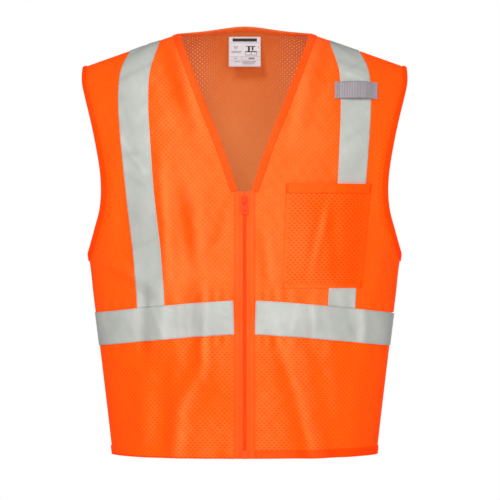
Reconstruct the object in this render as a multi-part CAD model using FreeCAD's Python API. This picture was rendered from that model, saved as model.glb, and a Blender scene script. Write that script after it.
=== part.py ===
import FreeCAD, Part
import os
from math import asin, cos, pi, sin, sqrt

# High visibility vest, size Large, shown as worn on a body form.
# Millimetres. +Z is up, the front faces -Y, +X is the wearer's left.
# The origin is midway between the two high shoulder points, on the shoulder seam plane y = 0.

V = FreeCAD.Vector
os.makedirs("parts", exist_ok=True)

# garment
HEM_Z = -643.0
UNDERARM_Z = -340.0
NECK_HALF = 102.0
TIP_HALF = 247.5
RIDGE_SLOPE = 0.354
RIDGE_ROUND = 30.0
SHOULDER_DROP = 170.0
SECTION_POWER = 2.2
SHOULDER_POWER = 2.4
FRONT_DEPTH = 130.0
SEAM_GAP = 0.1
HALF_WIDTH = [(-650, 202), (-580, 210), (-480, 222), (-400, 232), (-345, 238.6), (-300, 250), (-230, 260),
              (-100, 266), (60, 268)]
BACK_DEPTH = [(-650, 112), (-520, 104), (-420, 106), (-200, 118), (60, 118)]
V_EDGE = [(102, 0), (85, -46), (70, -86), (56, -122), (46, -146), (30, -188), (14.5, -234), (9, -247)]
BACK_NECK_PLAN = [(102, 0), (97, 13), (86, 26), (68, 39), (45, 48.5), (22, 53.5), (0, 55)]
ARMHOLE = [(247.5, -50.7), (247, -75), (241.2, -100), (234.5, -125), (228.7, -149), (223.5, -174), (219, -199),
           (216.2, -223), (215.8, -248), (218.6, -272), (225.6, -297), (233.4, -322), (240, -340)]

# cloth, tapes and trims
MESH_THICK = 0.8
TAPE_THICK = 0.5
TAPE_WIDTH = 50.8
TAPE_LIFT = 0.1
RIDGE_LIFT = 0.5
BINDING_WIDTH = 9.0
HEM_WIDTH = 12.0
BINDING_PLY = 0.5
BINDING_CLEAR = 0.45
SEAM_WIDTH = 7.0
WAIST_TOP_CENTRE = -406.0
WAIST_DROP_FRONT = 21.0
WAIST_DROP_BACK = 15.0
SHOULDER_TAPE = [(4, 149), (-20, 152), (-60, 165), (-107, 167.5), (-182, 164), (-250, 159.5), (-330, 152), (-391, 147),
                 (-430, 145)]
RIGHT_TAPE_NEARER = 5.0
RIGHT_TAPE_FROM_Z = -120.0
RIGHT_TAPE_TO_Z = -330.0

# chest pocket, on the wearer's left
POCKET_TOP_Z = -232.0
POCKET_BOTTOM_Z = -388.0
POCKET_INNER_X = (62.0, 56.0)
POCKET_OUTER_X = (190.5, 176.0)
POCKET_BASE = MESH_THICK + TAPE_LIFT + TAPE_THICK + 0.1
POCKET_BULGE = 9.0
POCKET_HEM = 14.0

# radio mic tab, on the wearer's left
TAB_X = (135.0, 199.0)
TAB_Z = (-104.0, -79.0)
TAB_THICK = 1.6
TAB_BOW = 6.0

# neck label
LABEL_WIDTH = 50.0
LABEL_HEIGHT = 47.0
LABEL_THICK = 0.5
LABEL_TOP_Z = 2.0
LABEL_Y = 68.0

# zip, coil size 5
PANEL_INNER_X = 7.5
ZIP_TAPE_OUTER_X = 15.6
ZIP_TAPE_INNER_X = 1.0
ZIP_TAPE_THICK = 0.6
ZIP_TAPE_TOP_Z = -244.0
COIL_TOP_Z = -251.0
COIL_BOTTOM_Z = -630.0
COIL_X = (0.9, 3.1)
COIL_HEIGHT = 2.0
STOP_LENGTH = 2.6
CENTRE_Y = -(FRONT_DEPTH + SEAM_GAP / 2)
TAPE_FACE_Y = CENTRE_Y - MESH_THICK - ZIP_TAPE_THICK
COIL_FACE_Y = TAPE_FACE_Y - COIL_HEIGHT
SLIDE_GAP = 0.4
SLIDER_TOP_Z = -251.0
SLIDER_LENGTH = 13.0
SLIDER_HALF = 4.9
PLATE = 1.4
CROWN_WIDTH = 2.4
CROWN_WALL = 1.2
CROWN_INSIDE = 2.4
PIVOT_Z = -257.5
PULL_BAR_R = 0.7
PULL_THICK = 1.2
PULL_LENGTH = 21.0
PULL_TOP_HALF = 3.2
PULL_END_R = 5.2
PULL_SLOT_HALF = 1.8
PULL_SLOT_END = 6.2
EYELET_R = 1.6
BOX_BOTTOM_Z = -643.0


def save(shape, node):
    if len(shape.Solids) == 1:
        shape = shape.Solids[0]
    shape.exportStep("parts/" + node + ".step")


def through(table, v):
    """Smooth curve through the points of a table, as a value at v."""
    rows = sorted(table)
    v = min(max(v, rows[0][0]), rows[-1][0])
    k = 0
    while k < len(rows) - 2 and v > rows[k + 1][0]:
        k += 1
    slopes = []
    for j in (k, k + 1):
        lo = rows[max(j - 1, 0)]
        hi = rows[min(j + 1, len(rows) - 1)]
        slopes.append((hi[1] - lo[1]) / (hi[0] - lo[0]))
    step = rows[k + 1][0] - rows[k][0]
    t = (v - rows[k][0]) / step
    a = (1 + 2 * t) * (1 - t) ** 2 * rows[k][1] + t * t * (3 - 2 * t) * rows[k + 1][1]
    b = t * (1 - t) ** 2 * slopes[0] - t * t * (1 - t) * slopes[1]
    return a + b * step


def ridge(x):
    """Height of the shoulder line over x."""
    top = RIDGE_SLOPE * sqrt(NECK_HALF ** 2 + RIDGE_ROUND ** 2)
    return top - RIDGE_SLOPE * sqrt(x * x + RIDGE_ROUND ** 2)


def reach(side, x, z):
    """Distance of the cloth from the shoulder plane, front (side -1) or back (side 1)."""
    depth = FRONT_DEPTH if side < 0 else through(BACK_DEPTH, z)
    edge = max(0.0, 1 - (abs(x) / through(HALF_WIDTH, z)) ** SECTION_POWER) ** (1 / SECTION_POWER)
    t = min(max((ridge(x) - z) / SHOULDER_DROP, 0.0), 1.0)
    roof = (1 - (1 - t) ** SHOULDER_POWER) ** (1 / SHOULDER_POWER)
    return depth * edge * roof


def normal(side, x, z):
    h = 0.004
    half = through(HALF_WIDTH, z) - 0.01
    x = min(max(x, -half), half)
    z = min(z, ridge(x) - 0.01)
    slope_x = (reach(side, x + h, z) - reach(side, x - h, z)) / (2 * h)
    slope_z = (reach(side, x, z + h) - reach(side, x, z - h)) / (2 * h)
    return V(-slope_x, side, -slope_z).normalize()


def skin(side, x, z, off):
    """Point of the cloth at x and z, pushed out along its normal."""
    return V(x, side * (reach(side, x, z) + SEAM_GAP / 2), z) + normal(side, x, z) * off


def closed(faces):
    """Solid from the faces that wrap it."""
    shell = Part.makeShell(faces)
    shell.sewShape()
    solid = Part.makeSolid(shell)
    if solid.Volume < 0:
        solid.reverse()
    return solid


def sheet(inner, outer):
    """Closed solid between two even grids of points, passing through every one."""
    a, b = Part.BSplineSurface(), Part.BSplineSurface()
    a.interpolate(inner)
    b.interpolate(outer)
    faces = [a.toShape(), b.toShape()]
    for k in (0, 1):
        faces.append(Part.makeRuledSurface(a.uIso(a.bounds()[k]).toShape(), b.uIso(b.bounds()[k]).toShape()))
        faces.append(Part.makeRuledSurface(a.vIso(a.bounds()[2 + k]).toShape(), b.vIso(b.bounds()[2 + k]).toShape()))
    return closed(faces)


def drawn(grid, u_degree, v_degree):
    """Face pulled smoothly along a net of points."""
    knots = []
    for count, degree in ((len(grid), u_degree), (len(grid[0]), v_degree)):
        spans = count - degree
        knots.append(([degree + 1] + [1] * (spans - 1) + [degree + 1], [float(k) for k in range(spans + 1)]))
    surface = Part.BSplineSurface()
    surface.buildFromPolesMultsKnots(grid, knots[0][0], knots[1][0], knots[0][1], knots[1][1],
                                     False, False, u_degree, v_degree)
    return surface.toShape()


def drawn_sheet(inner, outer):
    """Closed solid between two nets of points."""
    faces = [drawn(inner, 3, 2), drawn(outer, 3, 2)]
    for k in (0, -1):
        faces.append(drawn([inner[k], outer[k]], 1, 2))
        faces.append(drawn([[row[k] for row in inner], [row[k] for row in outer]], 1, 3))
    return closed(faces)


def patch(side, place, lift, thick, columns, rows):
    """Sheet lying on the cloth. place gives x and z, lift the inner face's height, over u and v in 0..1."""
    grids = []
    for extra in (0.0, thick):
        grid = []
        for i in range(columns + 1):
            u = i / columns
            line = []
            for j in range(rows + 1):
                v = j / rows
                x, z = place(u, v)
                line.append(skin(side, x, z, lift(u, v) + extra))
            grid.append(line)
        grids.append(grid)
    return sheet(grids[0], grids[1])


def flat(height):
    return lambda u, v: height


def prism(points, y0, y1):
    """Upright block whose outline in x and z is a smooth curve closed by a straight far side."""
    curve = Part.BSplineCurve()
    curve.interpolate([V(x, y0, z) for x, z in points[0]])
    corners = [points[0][-1]] + points[1] + [points[0][0]]
    edges = [curve.toShape()]
    for p, q in zip(corners, corners[1:]):
        edges.append(Part.makeLine(V(p[0], y0, p[1]), V(q[0], y0, q[1])))
    return Part.Face(Part.Wire(edges)).extrude(V(0, y1 - y0, 0))


def block(x, y, z):
    """Box between pairs of limits."""
    return Part.makeBox(x[1] - x[0], y[1] - y[0], z[1] - z[0], V(x[0], y[0], z[0]))


def half_space(side):
    """Everything in front of or behind the seam plane, short of it by half the seam gap."""
    near = SEAM_GAP / 2
    return block((-400, 400), (near, 400) if side > 0 else (-400, -near), (-800, 200))


def torso(side, first, last):
    """Mesh of the whole front or back between two sideways positions given as fractions of the half width."""
    def place(u, v):
        s = first + (last - first) * u
        x = through(HALF_WIDTH, HEM_Z) * sin(s * pi / 2)
        z = HEM_Z
        for _ in range(12):
            top = ridge(x)
            z = HEM_Z + (top - HEM_Z) * (1 - (1 - v) ** 2)
            x = through(HALF_WIDTH, z) * sin(s * pi / 2)
        return x, z
    return patch(side, place, flat(0.0), MESH_THICK, 36, 44)


def mirrored(points, hand):
    return [(hand * x, z) for x, z in points]


def along(side, points, count):
    """Even points on the cloth along a smooth line drawn in x and z."""
    curve = Part.BSplineCurve()
    curve.interpolate([skin(side, x, z, 0.0) for x, z in points])
    return curve.discretize(Number=count)


def edge_strip(side, points, count, section, turn):
    """Folded strip following an edge. section gives pairs of (inward, outward) for its two faces."""
    track = along(side, points, count)
    grids = [[], []]
    for k, p in enumerate(track):
        ahead = track[min(k + 1, count - 1)] - track[max(k - 1, 0)]
        ahead.normalize()
        out = normal(side, p.x, p.z)
        inward = ahead.cross(out) * turn
        inward.normalize()
        out = inward.cross(ahead) * turn
        for grid, face in zip(grids, section):
            grid.append([p + inward * w + out * d for w, d in face])
    return drawn_sheet(grids[0], grids[1])


def folded(width):
    """Section of a strip folded round a raw edge: down the inside, round the edge, up the outside."""
    faces = []
    middle = MESH_THICK / 2
    for ply in (0.0, BINDING_PLY):
        r = middle + BINDING_CLEAR + ply
        face = [(width * (1 - k / 4), middle - r) for k in range(4)]
        face += [(-r * cos(a * pi / 12), middle + r * sin(a * pi / 12)) for a in (-5, -3, -1, 1, 3, 5)]
        face += [(width * (k + 1) / 4, middle + r) for k in range(4)]
        faces.append(face)
    return faces


def seam_section():
    """Section of a seam allowance lying on the inside of the back."""
    return [[(0.3 + SEAM_WIDTH * k / 3, d) for k in range(4)] for d in (-1.6, -0.4)]


def widest(side, hand, z0, z1, count):
    """The side seam line between two heights."""
    zs = [z0 + (z1 - z0) * k / (count - 1) for k in range(count)]
    return [(hand * through(HALF_WIDTH, z), z) for z in zs]


def hem_line(hand, start):
    """The bottom edge from the given distance from the centre to the side seam."""
    width = through(HALF_WIDTH, HEM_Z)
    first = asin(start / width)
    return [(hand * width * sin(first + (pi / 2 - first) * k / 14), HEM_Z) for k in range(15)]


def waist_top(side, x):
    drop = WAIST_DROP_FRONT if side < 0 else WAIST_DROP_BACK
    centre = WAIST_TOP_CENTRE - (WAIST_DROP_FRONT - drop)
    return centre - drop * (abs(x) / 231.0) ** 1.4


def waist_tape(side, x_of):
    def place(u, v):
        x = 0.0
        for _ in range(4):
            z = waist_top(side, x) - TAPE_WIDTH * v
            x = x_of(u, through(HALF_WIDTH, z))
        return x, z
    return patch(side, place, flat(MESH_THICK + TAPE_LIFT), TAPE_THICK, 30, 6)


def shoulder_tape(side, hand):
    """Vertical tape from the shoulder seam to the waist tape. The wearer's right one leans inwards."""
    nearer = RIGHT_TAPE_NEARER if hand < 0 else 0.0

    def lean(z):
        return nearer * min(max((RIGHT_TAPE_FROM_Z - z) / (RIGHT_TAPE_FROM_Z - RIGHT_TAPE_TO_Z), 0.0), 1.0)

    def place(u, v):
        x, z = SHOULDER_TAPE[0][1], SHOULDER_TAPE[0][0]
        for _ in range(8):
            middle = through(SHOULDER_TAPE, z) - lean(z)
            level = min(z, ridge(middle) - 15)
            slope = reach(side, middle + 0.5, level) - reach(side, middle - 0.5, level)
            x = middle + TAPE_WIDTH * (u - 0.5) / sqrt(1 + min(slope * slope, 1.2))
            z = ridge(x) + (waist_top(side, x) - ridge(x)) * v ** 2.4
        return hand * x, z

    def lift(u, v):
        return MESH_THICK + TAPE_LIFT + RIDGE_LIFT * max(0.0, 1 - v / 0.6)
    return patch(side, place, lift, TAPE_THICK, 8, 40)


FRONT = half_space(-1)
BACK = half_space(1)
FAR = 420.0


def arm_cutter(hand):
    line = [(247.0, -25.0)] + ARMHOLE + [(247.0, UNDERARM_Z - 12)]
    corners = [(300.0, UNDERARM_Z - 12), (300.0, 120.0), (247.0, 120.0)]
    return prism((mirrored(line, hand), mirrored(corners, hand)), -FAR, FAR)


def v_cutter(hand):
    line = [(107.0, 14.0)] + V_EDGE
    corners = [(0.0, V_EDGE[-1][1]), (0.0, 120.0), (107.0, 120.0)]
    return prism((mirrored(line, hand), mirrored(corners, hand)), -FAR, 0.0)


def neck_cutter():
    """Upright block standing in the back of the neck opening, drawn in plan."""
    plan = [(102.5, -10.0)] + BACK_NECK_PLAN
    plan = plan + mirrored(plan[-2::-1], -1)
    curve = Part.BSplineCurve()
    curve.interpolate([V(x, y, -60) for x, y in plan])
    edges = [curve.toShape(), Part.makeLine(V(plan[-1][0], -10, -60), V(plan[0][0], -10, -60))]
    return Part.Face(Part.Wire(edges)).extrude(V(0, 0, 120))


def neck_line():
    """The back neck edge as x and z, found on the cloth from its plan."""
    line = []
    for x, y in BACK_NECK_PLAN:
        low, high = ridge(x) - 60.0, ridge(x)
        for _ in range(40):
            z = (low + high) / 2
            low, high = (z, high) if reach(1, x, z) > y else (low, z)
        line.append((x, z))
    return line + mirrored(line[-2::-1], -1)


def seam_line(hand):
    """The shoulder seam from the neck to the shoulder tip."""
    xs = [NECK_HALF + 12 + (TIP_HALF - NECK_HALF - 24) * k / 10 for k in range(11)]
    return [(hand * x, ridge(x) - 0.01) for x in xs]


# back of the vest
back_panel = torso(1, -1.0, 1.0).cut(neck_cutter()).cut(arm_cutter(1)).cut(arm_cutter(-1))
save(back_panel, "back_panel")
save(edge_strip(1, neck_line(), 40, folded(BINDING_WIDTH), 1).common(BACK), "neck_binding_back")
hem = mirrored(hem_line(1, 0.0)[::-1], -1) + hem_line(1, 0.0)[1:]
save(edge_strip(1, hem, 60, folded(HEM_WIDTH), 1).common(BACK), "hem_binding_back")
save(waist_tape(1, lambda u, half: half * sin((2 * u - 1) * pi / 2)), "waist_tape_back")

# both hands: the wearer's right is -X, the left +X
for hand, name in ((-1, "right"), (1, "left")):
    save(edge_strip(1, mirrored(ARMHOLE, hand), 44, folded(BINDING_WIDTH), -hand).common(BACK),
         "armhole_binding_" + name + "_back")
    save(shoulder_tape(1, hand), "shoulder_tape_" + name + "_back")
    save(edge_strip(1, widest(1, hand, UNDERARM_Z - 14, HEM_Z + 16, 12), 20, seam_section(), -hand),
         "side_seam_" + name)
    save(edge_strip(1, seam_line(hand), 16, seam_section(), -hand), "shoulder_seam_" + name)

    panel = torso(-1, 0.0, hand).cut(arm_cutter(hand)).cut(v_cutter(hand))
    side_of_zip = sorted((hand * PANEL_INNER_X, hand * FAR))
    panel = panel.common(block(side_of_zip, (-FAR, 0), (-800, 200)))
    save(panel, "front_panel_" + name)
    neck = edge_strip(-1, mirrored(V_EDGE, hand), 48, folded(BINDING_WIDTH), -hand).common(FRONT)
    beside_zip = sorted((0.0, hand * (ZIP_TAPE_OUTER_X + 0.3)))
    neck = neck.cut(block(beside_zip, (-FAR, 0), (-400, ZIP_TAPE_TOP_Z + 0.4)))
    save(neck, "neck_binding_" + name)
    save(edge_strip(-1, mirrored(ARMHOLE, hand), 44, folded(BINDING_WIDTH), hand).common(FRONT),
         "armhole_binding_" + name + "_front")
    front_hem = hem_line(hand, ZIP_TAPE_OUTER_X + 0.4)
    save(edge_strip(-1, front_hem, 36, folded(HEM_WIDTH), -hand).common(FRONT), "hem_binding_" + name)

    def beside(u, half):
        first = asin((ZIP_TAPE_OUTER_X + 0.3) / half)
        return hand * half * sin(first + (pi / 2 - first) * u)

    save(waist_tape(-1, beside), "waist_tape_" + name)
    save(shoulder_tape(-1, hand), "shoulder_tape_" + name + "_front")

    def zip_place(u, v):
        x = ZIP_TAPE_INNER_X + (ZIP_TAPE_OUTER_X - ZIP_TAPE_INNER_X) * u
        return hand * x, HEM_Z + (ZIP_TAPE_TOP_Z - HEM_Z) * v

    save(patch(-1, zip_place, flat(MESH_THICK), ZIP_TAPE_THICK, 4, 12), "zip_tape_" + name)
    coil_x = sorted((hand * COIL_X[0], hand * COIL_X[1]))
    coil = block(coil_x, (COIL_FACE_Y, TAPE_FACE_Y), (COIL_BOTTOM_Z, COIL_TOP_Z))
    save(coil.makeFillet(0.5, [e for e in coil.Edges if e.BoundBox.YMax < COIL_FACE_Y + 0.1 and e.Length > 50]),
         "zip_coil_" + name)
    stop_z = COIL_TOP_Z + 0.3
    save(block(coil_x, (COIL_FACE_Y, TAPE_FACE_Y), (stop_z, stop_z + STOP_LENGTH)), "zip_top_stop_" + name)


# chest pocket with its turned top edge
def pocket_place(top, bottom):
    def place(u, v):
        z = bottom + (top - bottom) * v
        low = (z - POCKET_BOTTOM_Z) / (POCKET_TOP_Z - POCKET_BOTTOM_Z)
        inner = POCKET_INNER_X[1] + (POCKET_INNER_X[0] - POCKET_INNER_X[1]) * low
        outer = POCKET_OUTER_X[1] + (POCKET_OUTER_X[0] - POCKET_OUTER_X[1]) * low
        return inner + (outer - inner) * u, z
    return place


def pocket_lift(low, high, extra):
    def lift(u, v):
        up = low + (high - low) * v
        return POCKET_BASE + extra + POCKET_BULGE * sin(pi * u) * sin(up * pi / 2)
    return lift


save(patch(-1, pocket_place(POCKET_TOP_Z, POCKET_BOTTOM_Z), pocket_lift(0.0, 1.0, 0.0), MESH_THICK, 16, 16),
     "chest_pocket")
hem_from = 1 - POCKET_HEM / (POCKET_TOP_Z - POCKET_BOTTOM_Z)
save(patch(-1, pocket_place(POCKET_TOP_Z, POCKET_TOP_Z - POCKET_HEM), pocket_lift(hem_from, 1.0, MESH_THICK),
           TAPE_THICK, 16, 3), "chest_pocket_hem")


# radio mic tab, bowed clear of the tape behind it
def tab_lift(extra):
    return lambda u, v: MESH_THICK + extra + TAB_BOW * sin(pi * u) ** 1.2


def tab_place(u, v):
    return TAB_X[0] + (TAB_X[1] - TAB_X[0]) * u, TAB_Z[0] + (TAB_Z[1] - TAB_Z[0]) * v


save(patch(-1, tab_place, tab_lift(0.0), TAB_THICK, 16, 4), "mic_tab")

# bartacks holding the pocket corners
tacks = []
for x, z in ((POCKET_INNER_X[0] + 2, POCKET_TOP_Z - 1), (POCKET_OUTER_X[0] - 4, POCKET_TOP_Z - 1),
             (POCKET_INNER_X[1] + 2, POCKET_BOTTOM_Z + 11), (POCKET_OUTER_X[1] - 4, POCKET_BOTTOM_Z + 11)):
    def tack_place(u, v, x=x, z=z):
        return x + 2 * u, z - 10 + 10 * v
    raised = POCKET_BASE + MESH_THICK + (TAPE_THICK + 1.2 if z > POCKET_BOTTOM_Z + 20 else 0.4)
    tacks.append(patch(-1, tack_place, flat(raised), 0.6, 2, 4))
save(Part.makeCompound(tacks), "pocket_bartacks")

# neck label, sewn by its top edge inside the back
label = block((-LABEL_WIDTH / 2, LABEL_WIDTH / 2), (-LABEL_THICK, 0), (-LABEL_HEIGHT, 0))
label.translate(V(0, LABEL_Y, LABEL_TOP_Z))
save(label, "neck_label")

# slider: two plates joined by a post between the coils, with side flanges and a crown for the puller
slider_bottom = SLIDER_TOP_Z - SLIDER_LENGTH
front_plate_y = COIL_FACE_Y - SLIDE_GAP
back_plate_y = CENTRE_Y - MESH_THICK + SLIDE_GAP
face_y = front_plate_y - PLATE
waist = SLIDER_HALF - 1.0
corners = [(-SLIDER_HALF, SLIDER_TOP_Z), (SLIDER_HALF, SLIDER_TOP_Z), (SLIDER_HALF, SLIDER_TOP_Z - 5),
           (waist, slider_bottom), (-waist, slider_bottom), (-SLIDER_HALF, SLIDER_TOP_Z - 5)]
ring = [V(x, face_y, z) for x, z in corners]
outline = Part.Face(Part.makePolygon(ring + ring[:1])).extrude(V(0, 20, 0))
everywhere = (slider_bottom, SLIDER_TOP_Z)
layers = block((-9, 9), (face_y, front_plate_y), everywhere)
layers = layers.fuse(block((-9, 9), (back_plate_y, back_plate_y + PLATE), everywhere))
for hand in (-1, 1):
    flange_x = sorted((hand * (COIL_X[1] + SLIDE_GAP), hand * 9.0))
    layers = layers.fuse(block(flange_x, (face_y, TAPE_FACE_Y - SLIDE_GAP), everywhere))
slider = layers.common(outline)
slider = slider.fuse(block((-0.5, 0.5), (face_y, back_plate_y + PLATE), (SLIDER_TOP_Z - 3, SLIDER_TOP_Z)))
crown_z = (PIVOT_Z - 4.0, PIVOT_Z + 5.0)
crown_y = face_y - CROWN_INSIDE - CROWN_WALL
crown = block((-CROWN_WIDTH / 2, CROWN_WIDTH / 2), (crown_y, face_y + 0.2), crown_z)
crown = crown.makeFillet(1.0, [e for e in crown.Edges if e.BoundBox.YMax < crown_y + 0.01 and
                               e.BoundBox.XLength > 1])
hollow_z = (crown_z[0] + CROWN_WALL, crown_z[1] - CROWN_WALL)
crown = crown.cut(block((-9, 9), (face_y - CROWN_INSIDE, face_y), hollow_z))
save(slider.fuse(crown).removeSplitter(), "zip_slider")

# puller: flat drop with a slot round the crown and an eyelet at its end
pivot_y = face_y - CROWN_INSIDE / 2
end_z = PIVOT_Z - PULL_LENGTH + PULL_BAR_R + PULL_END_R
ring = [V(x, pivot_y - PULL_THICK / 2, z) for x, z in
        ((-PULL_TOP_HALF, PIVOT_Z), (PULL_TOP_HALF, PIVOT_Z), (PULL_END_R, end_z), (-PULL_END_R, end_z))]
pull = Part.Face(Part.makePolygon(ring + ring[:1])).extrude(V(0, PULL_THICK, 0))
outward = V(0, 1, 0)
start = V(0, pivot_y - PULL_THICK / 2, end_z)
pull = pull.fuse(Part.makeCylinder(PULL_END_R, PULL_THICK, start, outward))
pull = pull.cut(block((-PULL_SLOT_HALF, PULL_SLOT_HALF), (pivot_y - 2, pivot_y + 2),
                      (PIVOT_Z - PULL_SLOT_END, PIVOT_Z + 1)))
pull = pull.fuse(Part.makeCylinder(PULL_BAR_R, 2 * PULL_TOP_HALF, V(-PULL_TOP_HALF, pivot_y, PIVOT_Z), V(1, 0, 0)))
pull = pull.cut(Part.makeCylinder(EYELET_R, 9, start - outward * 4, outward))
save(pull.removeSplitter(), "zip_pull")

# retainer box on the left tape, holding the insertion pin of the right
box = block((-4.3, 5.0), (TAPE_FACE_Y - 3.3, TAPE_FACE_Y), (BOX_BOTTOM_Z, COIL_BOTTOM_Z - 0.3))
socket = block((-3.3, -0.7), (TAPE_FACE_Y - 2.5, TAPE_FACE_Y + 1), (BOX_BOTTOM_Z + 1.5, COIL_BOTTOM_Z + 1))
box = box.makeFillet(0.8, [e for e in box.Edges if e.BoundBox.YMax < TAPE_FACE_Y - 3.2])
save(box.cut(socket), "zip_retainer_box")
save(block((-3.0, -1.0), (TAPE_FACE_Y - 2.1, TAPE_FACE_Y), (BOX_BOTTOM_Z + 2, COIL_BOTTOM_Z - 0.3)),
     "zip_insertion_pin")
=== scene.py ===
from math import cos, pi, radians, sin, sqrt

import bpy
import numpy as np
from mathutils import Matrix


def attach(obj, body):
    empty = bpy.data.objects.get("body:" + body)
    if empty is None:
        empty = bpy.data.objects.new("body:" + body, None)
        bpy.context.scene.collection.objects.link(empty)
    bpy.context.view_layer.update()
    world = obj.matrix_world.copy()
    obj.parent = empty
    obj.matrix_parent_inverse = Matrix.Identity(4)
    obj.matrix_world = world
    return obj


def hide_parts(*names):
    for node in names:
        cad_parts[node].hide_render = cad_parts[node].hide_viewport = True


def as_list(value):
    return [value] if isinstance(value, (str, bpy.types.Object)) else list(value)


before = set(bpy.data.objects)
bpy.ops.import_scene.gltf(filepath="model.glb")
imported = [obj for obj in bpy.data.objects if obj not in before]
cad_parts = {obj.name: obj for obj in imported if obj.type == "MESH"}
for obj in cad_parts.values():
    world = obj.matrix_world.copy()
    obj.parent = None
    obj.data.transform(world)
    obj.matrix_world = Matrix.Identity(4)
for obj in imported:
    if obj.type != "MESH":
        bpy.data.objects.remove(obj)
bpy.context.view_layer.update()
RNG = np.random.default_rng(7)

# --- the garment's own sizes, metres
HEM_Z = -0.643
RIDGE_SLOPE = 0.354
RIDGE_ROUND = 0.030
NECK_HALF = 0.102
SHOULDER_DROP = 0.170
SECTION_POWER = 2.2
SHOULDER_POWER = 2.4
FRONT_DEPTH = 0.130
HALF_WIDTH = [(-0.650, 0.202), (-0.580, 0.210), (-0.480, 0.222), (-0.400, 0.232), (-0.345, 0.2386),
              (-0.300, 0.250), (-0.230, 0.260), (-0.100, 0.266), (0.060, 0.268)]
BACK_DEPTH = [(-0.650, 0.112), (-0.520, 0.104), (-0.420, 0.106), (-0.200, 0.118), (0.060, 0.118)]
V_EDGE = [(0.102, 0.0), (0.085, -0.046), (0.070, -0.086), (0.056, -0.122), (0.046, -0.146), (0.030, -0.188),
          (0.0145, -0.234), (0.009, -0.247)]
BACK_NECK_PLAN = [(0.102, 0.0), (0.097, 0.013), (0.086, 0.026), (0.068, 0.039), (0.045, 0.0485),
                  (0.022, 0.0535), (0.0, 0.055)]
ARMHOLE = [(0.2475, -0.0507), (0.247, -0.075), (0.2412, -0.100), (0.2345, -0.125), (0.2287, -0.149),
           (0.2235, -0.174), (0.219, -0.199), (0.2162, -0.223), (0.2158, -0.248), (0.2186, -0.272),
           (0.2256, -0.297), (0.2334, -0.322), (0.240, -0.340)]
SHOULDER_TAPE = [(-0.430, 0.145), (-0.391, 0.147), (-0.330, 0.152), (-0.250, 0.1595), (-0.182, 0.164),
                 (-0.107, 0.1675), (-0.060, 0.165), (-0.020, 0.152), (0.004, 0.149)]
RIGHT_TAPE_NEARER = 0.005
DROP, DROP_WIDTH = 0.0068, 0.024
TAPE_WIDTH = 0.0508
BINDING = 0.009
HEM_BAND = 0.012
HEM_HALF = 0.2028
PANEL_INNER = 0.0075
ZIP_EDGE = 0.0156
ZIP_TOP = -0.244
FRONT, BACK = -1, 1


# --- camera
camera = bpy.data.objects.new("camera", bpy.data.cameras.new("camera"))
bpy.context.scene.collection.objects.link(camera)
camera.location = (0.0082, -4.5, -0.331)
camera.rotation_euler = (radians(90), 0, 0)
camera.data.sensor_width = 36
camera.data.lens = 210.6
camera.data.clip_end = 50
bpy.context.scene.camera = camera


# --- small helpers
def smooth(edge0, edge1, v):
    t = np.clip((v - edge0) / (edge1 - edge0), 0.0, 1.0)
    return t * t * (3 - 2 * t)


def spline(table, v):
    """Smooth curve through a table's points, as values at v."""
    ks = np.array([r[0] for r in table])
    vs = np.array([r[1] for r in table])
    slope = np.empty_like(vs)
    slope[1:-1] = (vs[2:] - vs[:-2]) / (ks[2:] - ks[:-2])
    slope[0] = (vs[1] - vs[0]) / (ks[1] - ks[0])
    slope[-1] = (vs[-1] - vs[-2]) / (ks[-1] - ks[-2])
    v = np.clip(v, ks[0], ks[-1])
    k = np.clip(np.searchsorted(ks, v) - 1, 0, len(ks) - 2)
    step = ks[k + 1] - ks[k]
    t = (v - ks[k]) / step
    a = (1 + 2 * t) * (1 - t) ** 2 * vs[k] + t * t * (3 - 2 * t) * vs[k + 1]
    b = t * (1 - t) ** 2 * slope[k] - t * t * (1 - t) * slope[k + 1]
    return a + b * step


def lengths(points):
    """Distance of each point of a path from its start, along it."""
    return np.r_[0, np.cumsum(np.linalg.norm(np.diff(points, axis=0), axis=1))]


def unit(vectors):
    return vectors / np.linalg.norm(vectors, axis=-1, keepdims=True)


def resample(points, step):
    """Evenly spaced points on a smooth curve through points, of any dimension."""
    p = np.asarray(points, float)
    t = lengths(p)
    fine = np.linspace(0, t[-1], 40 * len(p))
    q = np.stack([spline(list(zip(t, p[:, k])), fine) for k in range(p.shape[1])], 1)
    s = lengths(q)
    even = np.linspace(0, s[-1], max(int(round(s[-1] / step)) + 1, 3))
    return np.stack([np.interp(even, s, q[:, k]) for k in range(p.shape[1])], 1)


def add_mesh(name, verts, faces, uvs=None, flat=False, shade=None, closed=True):
    """New object. A closed one's faces are turned outwards; its materials read shade at each vertex."""
    mesh = bpy.data.meshes.new(name)
    mesh.from_pydata([tuple(map(float, v)) for v in verts], [], [tuple(map(int, f)) for f in faces])
    mesh.validate()
    if not flat:
        mesh.polygons.foreach_set("use_smooth", [True] * len(mesh.polygons))
    if uvs is not None:
        layer = mesh.uv_layers.new(name="UVMap")
        loops = np.empty(len(mesh.loops), int)
        mesh.loops.foreach_get("vertex_index", loops)
        layer.data.foreach_set("uv", np.asarray(uvs, float)[loops].ravel())
    if closed:
        mesh.calc_loop_triangles()
        corners = np.empty(3 * len(mesh.loop_triangles), int)
        mesh.loop_triangles.foreach_get("vertices", corners)
        a, b, c = np.moveaxis(np.asarray(verts, float)[corners.reshape(-1, 3)], 1, 0)
        if np.einsum("ij,ij->", a, np.cross(b, c)) < 0:
            mesh.flip_normals()
    if shade is not None:
        layer = mesh.attributes.new("shade", "FLOAT", "POINT")
        layer.data.foreach_set("value", np.asarray(shade, np.float32).ravel())
    mesh.update()
    piece = bpy.data.objects.new(name, mesh)
    bpy.context.scene.collection.objects.link(piece)
    return piece


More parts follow.
